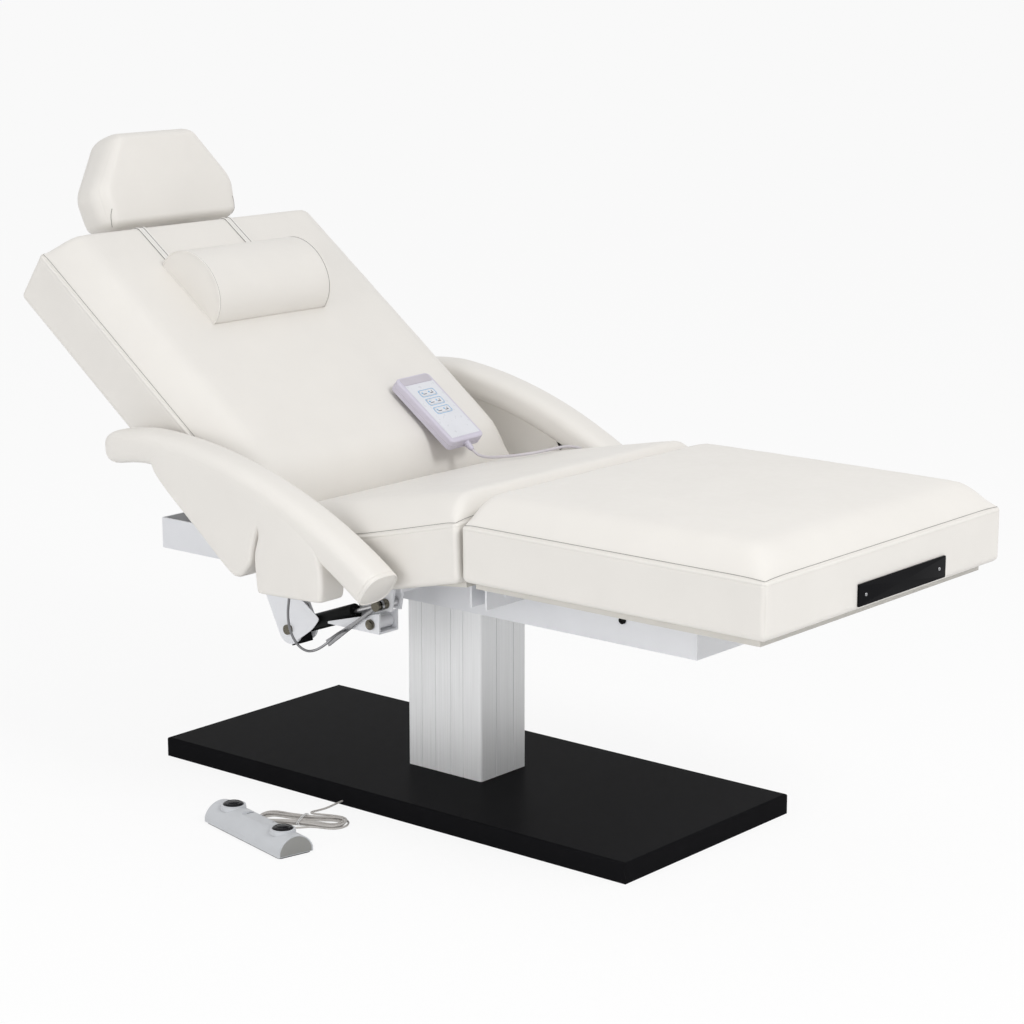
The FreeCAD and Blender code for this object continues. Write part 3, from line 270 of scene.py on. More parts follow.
def putMesh(name, points, faces, mat, body, slotName, replaced=(), weld=1e-5, smooth=True):
    mesh = bpy.data.meshes.new(name)
    mesh.from_pydata(np.reshape(points, (-1, 3)).tolist(), [], np.asarray(faces).tolist())
    work = bmesh.new()
    work.from_mesh(mesh)
    bmesh.ops.remove_doubles(work, verts=work.verts, dist=weld)
    bmesh.ops.dissolve_degenerate(work, edges=work.edges, dist=weld)
    bmesh.ops.recalc_face_normals(work, faces=work.faces)
    work.to_mesh(mesh)
    work.free()
    mesh.polygons.foreach_set("use_smooth", np.full(len(mesh.polygons), smooth))
    mesh.materials.append(finish[mat])
    piece = newObject(name, mesh)
    settle(piece, body, slotName, replaced)
    return piece


def putRings(name, rings, mat, body, slotName, replaced=()):
    # a closed skin over rings of points, each joined to the next
    return putMesh(name, rings, gridFaces(*rings.shape[:2], True), mat, body, slotName, replaced)


def joinParts(parts):
    # several point and face lists as one
    points = [np.reshape(p, (-1, 3)) for p, _ in parts]
    starts = np.cumsum([0] + [len(p) for p in points])
    return np.concatenate(points), np.concatenate([f + start for (_, f), start in zip(parts, starts)])


def boxSkin(aLines, bLines, cLines):
    # the six faces of a box from -1 to 1, each a grid on the given lines
    lines = (aLines, bLines, cLines)
    parts = []
    for fixed, u, v in ((0, 1, 2), (1, 0, 2), (2, 0, 1)):
        for end in (-1.0, 1.0):
            uu, vv = np.meshgrid(lines[u], lines[v], indexing="ij")
            q = np.empty(uu.shape + (3,))
            q[..., u] = uu
            q[..., v] = vv
            q[..., fixed] = end
            parts.append((q, gridFaces(*uu.shape)))
    return joinParts(parts)


def linesTo(half, marks, count):
    # even lines from -1 to 1 with extra ones at the marked distances from both ends
    inner = half - max(marks)
    even = np.linspace(-inner, inner, count)
    ends = half - np.array(marks)
    return np.unique(np.round(np.concatenate((even, ends, -ends)) / half, 7))


def unit(v):
    # each vector at length one
    return v / np.maximum(np.linalg.norm(v, axis=-1, keepdims=True), 1e-9)


def easeEdges(points, half, radius):
    # pull each point back to the inner box, then out again by the edge radius along its own direction
    core = np.clip(points, -(half - radius), half - radius)
    return core + radius * unit((points - core) / radius)


def smoothStep(x):
    x = np.clip(x, 0, 1)
    return x * x * (3 - 2 * x)


def runningMean(line, count, **ends):
    # each value averaged with its neighbours, the line carried on past both ends
    return np.convolve(np.pad(line, count // 2, **ends), np.ones(count) / count, mode="valid")


def alongPath(path, places, step=0.0006):
    # points at the given lengths along a line of points, with the line's direction there
    length = np.concatenate(([0], np.cumsum(np.linalg.norm(np.diff(path, axis=0), axis=1))))

    def at(spots):
        return np.stack([np.interp(spots, length, path[:, k]) for k in range(3)], -1)

    return at(places), unit(at(places + step) - at(places - step))


def sweepTube(path, radius, sides, flat=(0, 0, 1)):
    # rings of the given radius square to a line of points, closed by a point at each end
    aim = unit(np.gradient(path, axis=0))
    side = unit(np.cross(aim, flat))
    up = np.cross(side, aim)
    turn = np.linspace(0, 2 * np.pi, sides, endpoint=False)[:, None]
    rings = path[:, None] + radius * (np.cos(turn) * side[:, None] + np.sin(turn) * up[:, None])
    rings = np.concatenate((np.repeat(path[None, :1], sides, 1), rings, np.repeat(path[None, -1:], sides, 1)))
    return rings, gridFaces(len(rings), sides, True)


def putTube(name, line, radius, mat, body, slotName, sides=6, flat=(0, 0, 1), closed=True):
    # a thin tube along a line; where it closes, it runs on over the first two points
    if closed:
        line = np.concatenate((line, line[:2]))
    putMesh(name, *sweepTube(line, radius, sides, flat), mat, body, slotName)


thread = {"pitch": 0.0042, "share": 0.68, "thick": 0.00045, "sides": 6, "rows": (-1.0, -0.75, 0.75, 1.0),
          "sizes": (0.0, 1.0, 1.0, 0.0)}


def stitchRow(path, outward):
    # short rounded threads one pitch apart, each a six-sided spindle half sunk in the cover
    total = np.linalg.norm(np.diff(path, axis=0), axis=1).sum()
    count = int(total / thread["pitch"])
    places = (np.arange(count) + 0.5) * total / count
    spots, aim = alongPath(path, places)
    even = np.linspace(0, total, len(outward))
    seen = np.stack([np.interp(places, even, outward[:, k]) for k in range(3)], -1)
    side = unit(np.cross(aim, seen))
    along = np.array(thread["rows"])[:, None, None] * thread["pitch"] * thread["share"] / 2
    size = np.array(thread["sizes"])[:, None, None] * thread["thick"]
    turn = np.linspace(0, 2 * np.pi, thread["sides"], endpoint=False)[:, None]
    spots, aim, side, seen = [v[:, None, None] for v in (spots, aim, side, seen)]
    points = spots + aim * along + side * size * np.cos(turn) + seen * size * np.sin(turn)
    one = gridFaces(len(thread["rows"]), thread["sides"], True)
    faces = one + np.arange(count)[:, None, None] * len(thread["rows"]) * thread["sides"]
    return points, faces.reshape(-1, 4)


# the back's slope: t runs from the hinge to the head, h out of its lower face

slope = {"hingeX": -0.243, "hingeZ": 0.461, "angle": math.radians(37.1), "drop": 0.013, "topEnd": 0.798}


def onBack(t, h):
    lift = np.asarray(h, float) + slope["drop"]
    x = slope["hingeX"] - math.cos(slope["angle"]) * t + math.sin(slope["angle"]) * lift
    z = slope["hingeZ"] + math.sin(slope["angle"]) * t + math.cos(slope["angle"]) * lift
    return x, z


def backPoints(t, y, h):
    x, z = onBack(t, h)
    return np.stack(np.broadcast_arrays(x, y, z), -1)


# the three long cushions: boxed sides, a seam round the top edge, and a top panel that swells to a crown

cushions = {
    "leg": {"low": ((0.3155, 0.5385), (0.975, 0.540)), "top": ((0.3145, 0.645), (0.975, 0.645)),
            "node": "leg_cushion", "body": "leg", "crown": (0.052, 0.052), "ends": (0.0325, 0.075)},
    "seat": {"low": ((-0.217, 0.4835), (0.3095, 0.540)), "top": ((-0.184, 0.5925), (0.3045, 0.648)),
             "node": "seat_cushion", "body": "lift", "crown": (0.016, 0.052), "ends": (0.075, 0.0325),
             "seamDrop": ((0, 0.45, 0.6, 1), (0.036, 0.034, 0.026, 0.0)),
             "footDrop": ((0, 0.3, 0.62, 1), (0.0, 0.016, 0.030, 0.005))},
    "back": {"low": (onBack(0.794, 0.0), onBack(-0.009, 0.0)),
             "top": (onBack(slope["topEnd"], 0.116), onBack(0.033, 0.116)),
             "node": "back_cushion", "body": "back", "crown": (0.066, 0.066), "ends": (0.0325, 0.075)},
}
cover = {"halfWide": 0.381, "planRound": 0.012, "topRound": 0.007, "lowRound": 0.013, "shoulder": 0.075,
         "rim": 0.0040, "climb": 2.6, "flatter": 0.06, "seamIn": 0.0046, "seamDeep": 0.0020,
         "seamWide": 0.0015, "stitchDown": 0.0085, "stitchDeep": 0.0007, "stitchWide": 0.0016,
         "shadeLineThick": 0.0006, "fill": 0.9, "ripple": 0.0007, "rippleEdge": 0.09, "rippleRates": (61, 47),
         "bulge": 0.00132, "bulgeRates": (23, 19), "longLines": 30, "wideLines": 32, "tallLines": 17,
         "rimPoints": 160,
         "topMarks": (0.0, 0.0008, 0.002, 0.0034, 0.0044, 0.0053, 0.0062, 0.0071, 0.008, 0.009, 0.0105,
                      0.0125, 0.016, 0.021, 0.028, 0.037, 0.048, 0.062, 0.08, 0.1),
         "sideMarks": (0.0, 0.0015, 0.003, 0.005, 0.007, 0.0076, 0.0085, 0.0094, 0.0102, 0.0125)}


def panelRise(inward, width):
    # nought as far as the rim, then a curve that climbs steeply and levels out at the given width
    return 1 - (1 - np.clip((inward - cover["rim"]) / width, 0, 1)) ** cover["climb"]


def softLine(s, knots):
    # straight runs between the knots with their corners averaged away
    if knots is None:
        return np.zeros_like(s)
    fine = np.linspace(0, 1, 241)
    line = runningMean(np.interp(fine, *knots), 41, mode="reflect", reflect_type="odd")
    return np.interp(s, fine, line)


def cushionMap(q, cfg, half):
    # box coordinates to the cushion: eased edges, swelling top panel, seam and stitch lines drawn in,
    # then the box is laid between the lower and the upper line of the section
    part = smoothStep(q[..., 2:3] * 1.2 + 0.5)
    plan = np.full_like(part, cover["planRound"])
    edge = cover["lowRound"] + (cover["topRound"] - cover["lowRound"]) * part
    p = easeEdges(q * half, half, np.concatenate((plan, plan, edge), -1))
    long, wide = p[..., 0], p[..., 1]
    inA = np.stack((half[0] + long, half[0] - long))
    inB = half[1] - np.abs(wide)
    inward = np.minimum(inA.min(0), inB)
    onTop = (q[..., 2] > 0.9999).astype(float)
    swell = panelRise(inA[0], cfg["ends"][0]) * panelRise(inA[1], cfg["ends"][1])
    swell = swell * panelRise(inB, cover["shoulder"])
    broad = (1 - (long / half[0]) ** 2) * (1 - (wide / half[1]) ** 2)
    rates = cover["rippleRates"]
    wave = np.sin(long * rates[0] + 0.7) * np.sin(wide * rates[1] + 1.9)
    wave = wave * smoothStep(1 - inward / cover["rippleEdge"]) * swell
    s = (long / half[0] + 1) / 2
    seamDrop = softLine(s, cfg.get("seamDrop"))
    crown = np.interp(s, (0, 1), cfg["crown"]) + seamDrop
    rise = crown * swell * (1 - cover["flatter"] + cover["flatter"] * broad) + cover["ripple"] * wave
    seam = cover["seamDeep"] * np.exp(-((inward - cover["seamIn"]) / cover["seamWide"]) ** 2)
    p[..., 2] += onTop * (rise - seam)
    onSide = (1 - onTop) * (np.abs(q[..., 2]) < 0.9999)
    drawn = np.exp(-((p[..., 2] - half[2] + cover["stitchDown"]) / cover["stitchWide"]) ** 2)
    rates = cover["bulgeRates"]
    belly = np.cos(q[..., 2] * np.pi / 2) * np.sin(long * rates[0] + wide * rates[1] + 0.4)
    for axis in (0, 1):
        outer = (np.abs(q[..., axis]) > 0.9999) * onSide * np.sign(q[..., axis])
        p[..., axis] -= outer * (cover["stitchDeep"] * drawn + cover["bulge"] * np.abs(belly))
    h = ((p[..., 2] / half[2] + 1) / 2)[..., None]
    (lowA, lowB), (topA, topB) = np.array(cfg["low"]), np.array(cfg["top"])
    under = lowA + (lowB - lowA) * s[..., None]
    over = topA + (topB - topA) * s[..., None]
    place = under + (over - under) * h
    up = np.clip(h[..., 0], 0, 1)
    fall = softLine(s, cfg.get("footDrop")) * (1 - up) + seamDrop * up
    return np.stack((place[..., 0], p[..., 1], place[..., 1] - fall), -1)


def halfSizes(cfg):
    low = np.array(cfg["low"])
    top = np.array(cfg["top"])
    long = np.linalg.norm(low[1] - low[0]) / 2
    high = np.linalg.norm(top.mean(0) - low.mean(0)) / 2
    return np.array([long, cover["halfWide"], high])


def rimLoop(a, b, level):
    # once round a box's four sides, at the given shares of its half sizes
    run = np.linspace(-1, 1, cover["rimPoints"])
    one = np.ones(len(run))
    sides = ((run * a, -one * b), (one * a, run * b), (-run * a, one * b), (-one * a, -run * b))
    return np.concatenate([np.stack((u, v, one * level), -1) for u, v in sides])


def makeCushion(name, cfg):
    half = halfSizes(cfg)
    long, wide, high = half
    marks = cover["topMarks"]
    tall = np.concatenate((np.linspace(-1, 1, cover["tallLines"]), linesTo(high, cover["sideMarks"], 3)))
    q, faces = boxSkin(linesTo(long, marks, cover["longLines"]), linesTo(wide, marks, cover["wideLines"]),
                       np.unique(tall))
    skin = cushionMap(q, cfg, half)
    piece = putMesh(name + "Cushion", skin, faces, "vinyl", cfg["body"], "vinyl", (cfg["node"],))
    # the stitch row runs round the boxing, just below the seam
    path = cushionMap(rimLoop(1, 1, 1 - cover["stitchDown"] / high), cfg, half)
    up = np.mean(cfg["top"], 0) - np.mean(cfg["low"], 0)
    outward = np.cross(unit(np.gradient(path, axis=0)), unit(np.array([up[0], 0, up[1]])))
    if (outward * (path - path.mean(0))).sum() < 0:
        outward = -outward
    putMesh(name + "Stitching", *stitchRow(path, outward), "thread", cfg["body"], "vinyl", weld=1e-7)
    # painted shade of the seam: a fine dark line in the bottom of the groove round the top panel, standing in
    # for the groove's shade
    loop = rimLoop(1 - cover["seamIn"] / long, 1 - cover["seamIn"] / wide, 1)
    keep = np.linalg.norm(np.diff(loop, axis=0, append=loop[:1]), axis=1) > 1e-9
    line = cushionMap(loop[keep], cfg, half)
    putTube(name + "SeamShadeLine", line, cover["shadeLineThick"], "seamShade", cfg["body"], "vinyl")


for name, cfg in cushions.items():
    makeCushion(name, cfg)
print("cushions made")


# armrests: a bowed pad on an arc, and two padded flaps that hang from its outer side

arm = {"centreX": -0.439, "centreZ": -0.337, "radius": 1.043, "frontAngle": 54.5, "rearAngle": 95.5,
       "inner": 0.396, "pivotX": -0.040, "pivotZ": 0.492, "farRaise": math.radians(4.5), "wide": 0.082,
       "high": 0.066, "square": 3.0, "rearRound": 0.045, "rearPower": 2.4, "rearDrop": 0.010,
       "dropOver": 0.13, "capRound": 0.006, "capTuck": 0.10, "capDome": 0.004,
       "capShares": (0.0, 0.3, 0.6, 0.85, 0.95), "weltAt": 0.0088, "weltWide": 0.0012, "weltDeep": 0.035,
       "weltRadius": 0.0016, "weltProud": 0.012, "frontSwell": 0.10, "swellOver": 0.30, "sides": 72,
       "midLines": 46, "midStart": 0.05, "midEnd": 0.06, "rearLines": 14, "fill": 0.85,
       "frontLines": (0.0, 0.0006, 0.0018, 0.0036, 0.006, 0.0078, 0.0088, 0.0098, 0.0116, 0.016, 0.03)}
flap = {"Rear": ((-0.398, 0.700), (-0.378, 0.657), (-0.172, 0.492), (-0.150, 0.492), (-0.1205, 0.524),
                 (-0.1165, 0.548), (-0.104, 0.588), (-0.088, 0.612), (-0.050, 0.632), (-0.100, 0.664),
                 (-0.200, 0.695), (-0.300, 0.714)),
        "Front": ((-0.140, 0.655), (-0.114, 0.618), (-0.1005, 0.586), (-0.1125, 0.548), (-0.1135, 0.530),
                  (-0.107, 0.472), (-0.102, 0.468), (0.052, 0.4745), (0.0585, 0.479), (0.0625, 0.520),
                  (0.055, 0.570), (0.020, 0.606), (-0.050, 0.644)),
        "innerFace": 0.4105, "outerFace": {"Rear": 0.4781, "Front": 0.4779}, "edge": 0.010, "edgeLines": 7,
        "innerShares": (0.0, 0.25, 0.5, 0.75), "outerShares": (0.92, 0.8, 0.6, 0.4, 0.2, 0.0),
        "swell": 0.0012, "fill": 0.7}


def raiseFar(points, side):
    # the far armrest stands a few degrees higher, turned about its pivot
    if side < 0:
        return points
    c = math.cos(arm["farRaise"])
    s = math.sin(arm["farRaise"])
    x = points[..., 0] - arm["pivotX"]
    z = points[..., 2] - arm["pivotZ"]
    return np.stack((arm["pivotX"] + x * c + z * s, points[..., 1], arm["pivotZ"] - x * s + z * c), -1)


def armSection():
    # rounded rectangle by a raised power: flat faces with generous corners
    turn = np.linspace(0, 2 * np.pi, arm["sides"], endpoint=False)
    power = 2 / arm["square"]
    return [np.sign(v) * np.abs(v) ** power for v in (np.cos(turn), np.sin(turn))]


def makeArmPad(side, name):
    body = "arm_" + name.lower()
    across, out = armSection()
    total = arm["radius"] * math.radians(arm["rearAngle"] - arm["frontAngle"])
    ease = arm["rearRound"] * (1 - np.cos(np.linspace(0, np.pi / 2, arm["rearLines"])))
    middle = np.linspace(arm["midStart"], total - arm["midEnd"], arm["midLines"])
    places = np.concatenate((arm["frontLines"], middle, np.sort(total - ease)))
    # the section closes in round the rear end and the front cap, with a groove for the welt
    rear = np.clip((places - total) / arm["rearRound"] + 1, 0, 1)
    cap = np.clip(1 - places / arm["capRound"], 0, 1)
    size = np.sqrt(np.clip(1 - rear ** arm["rearPower"], 0, 1))
    size *= 1 - arm["capTuck"] * (1 - np.sqrt(np.clip(1 - cap ** 2, 0, 1)))
    size *= 1 - arm["weltDeep"] * np.exp(-((places - arm["weltAt"]) / arm["weltWide"]) ** 2)
    tall = size * (1 + arm["frontSwell"] * smoothStep(1 - places / arm["swellOver"]))
    angle = np.radians(arm["frontAngle"]) + places / arm["radius"]
    drop = arm["rearDrop"] * smoothStep((places - total) / arm["dropOver"] + 1)
    radial = (arm["radius"] - drop)[:, None] + tall[:, None] * out * arm["high"] / 2
    x = arm["centreX"] + np.cos(angle)[:, None] * radial
    z = arm["centreZ"] + np.sin(angle)[:, None] * radial
    y = side * (arm["inner"] + arm["wide"] / 2) + size[:, None] * across * arm["wide"] / 2
    rings = np.stack((x, y, z), -1)
    # the front cap is drawn to its middle over a slight dome
    middle = rings[0].mean(0)
    face = np.array([math.sin(angle[0]), 0, -math.cos(angle[0])]) * arm["capDome"]
    front = [middle + (rings[0] - middle) * k + face * (1 - k * k) for k in arm["capShares"]]
    tip = np.repeat(rings[-1:].mean(1, keepdims=True), len(out), 1)
    rings = raiseFar(np.concatenate((front, rings, tip)), side)
    piece = putRings("armPad" + name, rings, "vinyl", body, "vinyl", ("arm_pad_" + name.lower(),))
    # welt cord round the front cap
    edge = rings[len(front) + 1]
    welt = edge + (edge - rings[0].mean(0)) * arm["weltProud"]
    putTube("armWelt" + name, welt, arm["weltRadius"], "vinyl", body, "vinyl", 8, (1, 0, 0.3))


def roundCorners(corners):
    # cut every corner at a fifth of its runs, three times over, so that the outline is smooth
    line = np.array(corners)
    for _ in range(3):
        after = np.roll(line, -1, 0)
        line = np.stack((line * 0.8 + after * 0.2, line * 0.2 + after * 0.8), 1).reshape(-1, 2)
    return line


def makeFlap(side, name, part):
    # a padded plate: the outline is drawn in round both edges and the outer face swells a little; its top
    # reaches the pad's middle line, where both faces are upright and run into each other
    outline = roundCorners(flap[part])
    middle = (outline.max(0) + outline.min(0)) / 2
    inset = unit(outline - middle) * flap["edge"]
    core = outline - inset - middle
    inFace = flap["innerFace"]
    outFace = flap["outerFace"][part]
    arc = np.radians(np.linspace(0, 90, flap["edgeLines"]))
    rim = [(outline - inset * (1 - math.sin(a)), flap["edge"] * (1 - math.cos(a))) for a in arc]
    rows = [(middle + core * k, inFace) for k in flap["innerShares"]]
    rows += [(line, inFace + depth) for line, depth in rim]
    rows += [(line, outFace - depth) for line, depth in rim[::-1]]
    rows += [(middle + core * k, outFace + flap["swell"] * (1 - k ** 3)) for k in flap["outerShares"]]
    rings = raiseFar(np.stack([np.insert(line, 1, side * y, axis=1) for line, y in rows]), side)
    replaced = ("arm_panel_" + name.lower(),) if part == "Front" else ()
    piece = putRings("armFlap" + part + name, rings, "vinyl", "arm_" + name.lower(), "vinyl", replaced)


for side, name in ((-1, "Near"), (1, "Far")):
    makeArmPad(side, name)
    makeFlap(side, name, "Rear")
    makeFlap(side, name, "Front")
print("armrests made")


# head pillow: wide below, narrow above, with soft edges and a dart sewn into each lower corner

pillow = {"start": 0.813, "tilt": math.radians(35), "thick": 0.096, "long": 0.206, "half": 0.199,
          "stand": 0.140, "shares": (0.0, 0.14, 0.36, 0.46, 1.0), "widths": (0.92, 0.97, 1.0, 0.97, 0.54),
          "average": 17, "edges": (0.020, 0.036, 0.040), "dome": 0.006, "lines": 57, "thickLines": 25,
          "fill": 0.8, "dartStart": 0.99, "dartRise": 0.42, "dartIn": 0.10, "dartProud": 0.0002,
          "dartShadeRadius": 0.0007}


def pillowPlace(s, y, w):
    # s up the pillow from its lower edge, w out of its front face
    t = pillow["start"] + s * math.cos(pillow["tilt"]) - w * math.sin(pillow["tilt"])
    h = pillow["stand"] + s * math.sin(pillow["tilt"]) + w * math.cos(pillow["tilt"])
    return backPoints(t, y, h)


def pillowMap(q):
    half = np.array([pillow["long"] / 2, pillow["half"], pillow["thick"] / 2])
    p = easeEdges(q * half, half, np.array(pillow["edges"]))
    share = np.clip(p[..., 0] / pillow["long"] + 0.5, 0, 1)
    fine = np.linspace(0, 1, 201)
    wide = runningMean(np.interp(fine, pillow["shares"], pillow["widths"]), pillow["average"], mode="edge")
    y = p[..., 1] * np.interp(share, fine, wide)
    dome = (1 - (p[..., 0] / half[0]) ** 2) * (1 - (p[..., 1] / half[1]) ** 2)
    onFace = np.sign(q[..., 2]) * (np.abs(q[..., 2]) > 0.999)
    w = p[..., 2] + onFace * pillow["dome"] * np.clip(dome, 0, 1)
    return pillowPlace(p[..., 0] + half[0], y, w - half[2])


def makePillow():
    lines = np.sin(np.linspace(-1, 1, pillow["lines"]) * np.pi / 2)
    thickLines = np.sin(np.linspace(-1, 1, pillow["thickLines"]) * np.pi / 2)
    q, faces = boxSkin(lines, lines, thickLines)
    piece = putMesh("headPillow", pillowMap(q), faces, "pillowVinyl", "head_rest", "vinyl", ("head_pillow",))
    # painted shade of the dart seams: a thin dark line from each lower corner up the front
    k = np.linspace(0, 1, 40)
    proud = backPoints(0, 0, pillow["dartProud"]) - backPoints(0, 0, 0)
    for side, name in ((-1, "Near"), (1, "Far")):
        a = pillow["dartRise"] * k - pillow["dartStart"]
        b = side * (pillow["dartStart"] - pillow["dartIn"] * k ** 1.5)
        path = pillowMap(np.stack((a, b, np.ones_like(k)), -1)) + proud
        putTube("pillowDartShade" + name, path, pillow["dartShadeRadius"], "seamShade", "head_rest", "vinyl",
                closed=False)


makePillow()
print("pillow made")


# neck bolster: a half-round roll with piped flat ends, held by two bands over the head end

bolster = {"t": 0.570, "base": 0.184, "high": 0.084, "half": 0.160, "y": -0.0235, "sit": 0.1790,
           "archPower": 0.86, "middle": 0.42, "capDome": 0.003, "capShares": (0.0, 0.3, 0.6, 0.85, 0.95),
           "midStart": 0.04, "midLines": 16, "endLines": (0, 0.0008, 0.002, 0.004, 0.007, 0.012, 0.02),
           "tuck": 0.022, "tuckOver": 0.006, "waist": 0.006, "pipe": 0.0017, "pipeProud": 0.006,
           "seam": 0.0008, "seamShadeProud": 0.004, "seamIn": 0.0022, "fill": 0.9}
bands = {"places": (-0.133, 0.113), "wide": 0.020, "thick": 0.0022, "foot": 0.062, "underBolster": 0.020,
         "proud": 0.0006, "topPoints": 90, "endPoints": 30, "passes": 6, "shadeLineThick": 0.0007,
         "sides": (-1, -1, -0.86, -0.62, -0.5, 0.5, 0.62, 0.86, 1, 1),
         "heights": (0, 1.6, 2.0, 1.7, 0.8, 0.8, 1.7, 2.0, 1.6, 0),
         "lines": ((-1.02, 0.0008), (0.38, 0.0019), (1.02, 0.0008))}


def bolsterSection(n=64):
    # D outline in (t, h): an arch with eased feet and a nearly flat base
    a = np.linspace(0, np.pi, n)
    arch = np.stack((np.cos(a), np.sin(a) ** bolster["archPower"]), -1)
    base = np.stack((np.linspace(-1, 1, n // 2 + 2)[1:-1], np.zeros(n // 2)), -1)
    outline = np.concatenate((arch, base)) * np.array([bolster["base"] / 2, bolster["high"]])
    return (np.roll(outline, 1, 0) + 2 * outline + np.roll(outline, -1, 0)) / 4


def makeBolster():
    outline = bolsterSection()
    middle = np.array([0.0, bolster["high"] * bolster["middle"]])
    half = bolster["half"]
    ends = np.array(bolster["endLines"])
    start = bolster["midStart"]
    between = np.linspace(start, 2 * half - start, bolster["midLines"])
    run = np.concatenate((ends, between, 2 * half - ends[::-1]))
    tuck = bolster["tuck"] * np.exp(-np.minimum(run, 2 * half - run) / bolster["tuckOver"])
    waist = bolster["waist"] * np.cos(np.pi * (run / half - 1) / 2)
    caps = [(k, half + bolster["capDome"] * (1 - k * k)) for k in bolster["capShares"]]
    rows = [(k, -y) for k, y in caps] + list(zip(1 - tuck - waist, run - half)) + caps[::-1]
    rings = []
    for size, y in rows:
        line = middle + (outline - middle) * size
        rings.append(backPoints(bolster["t"] + line[:, 0], bolster["y"] + y, bolster["sit"] + line[:, 1]))
    rings = np.stack(rings)
    piece = putRings("neckBolster", rings, "vinyl", "back", "vinyl", ("neck_bolster",))
    for side, name, row in ((-1, "Near", len(caps)), (1, "Far", -len(caps) - 1)):
        spread = rings[row] - rings[row].mean(0)
        pipe = rings[row] + spread * bolster["pipeProud"]
        putTube("bolsterPiping" + name, pipe, bolster["pipe"], "vinyl", "back", "vinyl", 8, (0, 1, 0))
        # a dark tube just inside each piping: painted shade of the seam along the arch
        seam = rings[row] + spread * bolster["seamShadeProud"] - np.array([0, side * bolster["seamIn"], 0])
        putTube("bolsterSeamShade" + name, seam, bolster["seam"], "seamShade", "back", "vinyl", 6, (0, 1, 0))


def makeBands():
    # a ribbon with two raised rims, laid on the back's own surface from the bolster over the head end
    across = np.array([0.0, bands["wide"] / 2, 0.0])
    u = np.array(bands["sides"])[:, None]
    v = np.array(bands["heights"])[:, None] * bands["thick"] / 2 + bands["proud"]
    cfg = cushions["back"]
    size = halfSizes(cfg)
    reach = slope["topEnd"] - (bolster["t"] + bolster["base"] / 2 - bands["underBolster"])
    top = np.linspace(-1 + reach / size[0], -1, bands["topPoints"])
    down = np.linspace(1, bands["foot"] / size[2] - 1, bands["endPoints"])[1:]
    a = np.concatenate((top, np.full(len(down), -1.0)))
    c = np.concatenate((np.ones(len(top)), down))
    parts = []
    lines = []
    for y in bands["places"]:
        b = np.full(len(a), (bolster["y"] + y) / size[1])
        path = cushionMap(np.stack((a, b, c), -1), cfg, size)
        for _ in range(bands["passes"]):
            path[1:-1] = (path[:-2] + 2 * path[1:-1] + path[2:]) / 4
        out = np.cross(unit(np.gradient(path, axis=0)), (0.0, 1.0, 0.0))
        if out[0, 2] < 0:
            out = -out
        rows = path[:, None] + out[:, None] * v + across * u
        parts.append((rows, gridFaces(len(rows), len(u), True)))
        # thin dark tubes along both rims and one inner line of each band: painted shade
        for shift, proud in bands["lines"]:
            lines.append(sweepTube(path + out * proud + across * shift, bands["shadeLineThick"], 6, (0, 1, 0)))
    putMesh("bandEdgeShade", *joinParts(lines), "seamShade", "back", "vinyl")
    putMesh("bolsterBands", *joinParts(parts), "strap", "back", "vinyl", ("bolster_straps",))


makeBolster()
makeBands()
print("bolster and bands made")


# cords, on the same routes as the solids

cords = {
    "handCord": {"points": ((-0.12887, 0.17003, 0.64286), (-0.11771, 0.17052, 0.63442),
                            (-0.101, 0.1716, 0.6313), (-0.086, 0.1732, 0.6321),
                            (-0.068, 0.177, 0.6342), (-0.050, 0.183, 0.637),
                            (-0.032, 0.192, 0.6399), (-0.014, 0.206, 0.643), (-0.004, 0.226, 0.6448),
                            (0.0, 0.250, 0.6455), (0.001, 0.276, 0.6456), (0.0, 0.303, 0.6453),
                            (-0.002, 0.330, 0.6415), (-0.005, 0.354, 0.6356), (-0.006, 0.374, 0.6296),
                            (-0.006, 0.388, 0.6089), (-0.004, 0.391, 0.580), (0.002, 0.3915, 0.540),
                            (0.010, 0.389, 0.492), (0.012, 0.370, 0.463), (0.011, 0.335, 0.451),
                            (0.010, 0.290, 0.447), (0.010, 0.238, 0.4455), (0.010, 0.188, 0.445),
                            (0.010, 0.162, 0.445)),
                 "radius": 0.003, "mat": "handCord", "body": "lift", "node": "hand_cord",
                 "slot": "cords", "lay": "loose", "stiff": "medium"},
    "footTail": {"points": ((-0.0773, -0.34207, 0.007), (-0.092, -0.3486, 0.007), (-0.104, -0.345, 0.0058),
                            (-0.109, -0.333, 0.0039), (-0.107, -0.315, 0.0027), (-0.104, -0.296, 0.0034),
                            (-0.102, -0.276, 0.0064), (-0.101, -0.258, 0.008)),
                 "radius": 0.002, "mat": "footCord", "body": "base", "node": "foot_cord_tail",
                 "slot": "cords", "lay": "loose", "stiff": "limp"},
    "releaseCable": {"points": ((-0.0439, -0.3053, 0.3732), (-0.044, -0.320, 0.373), (-0.049, -0.333, 0.364),
                                (-0.060, -0.343, 0.350), (-0.076, -0.353, 0.338), (-0.091, -0.364, 0.336),
                                (-0.104, -0.377, 0.352), (-0.110, -0.388, 0.382), (-0.105, -0.397, 0.416),
                                (-0.095, -0.402, 0.448), (-0.091, -0.403, 0.471)),
                     "radius": 0.0025, "mat": "cable", "body": "lift", "node": "release_cable",
                     "slot": "cable", "lay": "hanging", "stiff": "medium"},
}
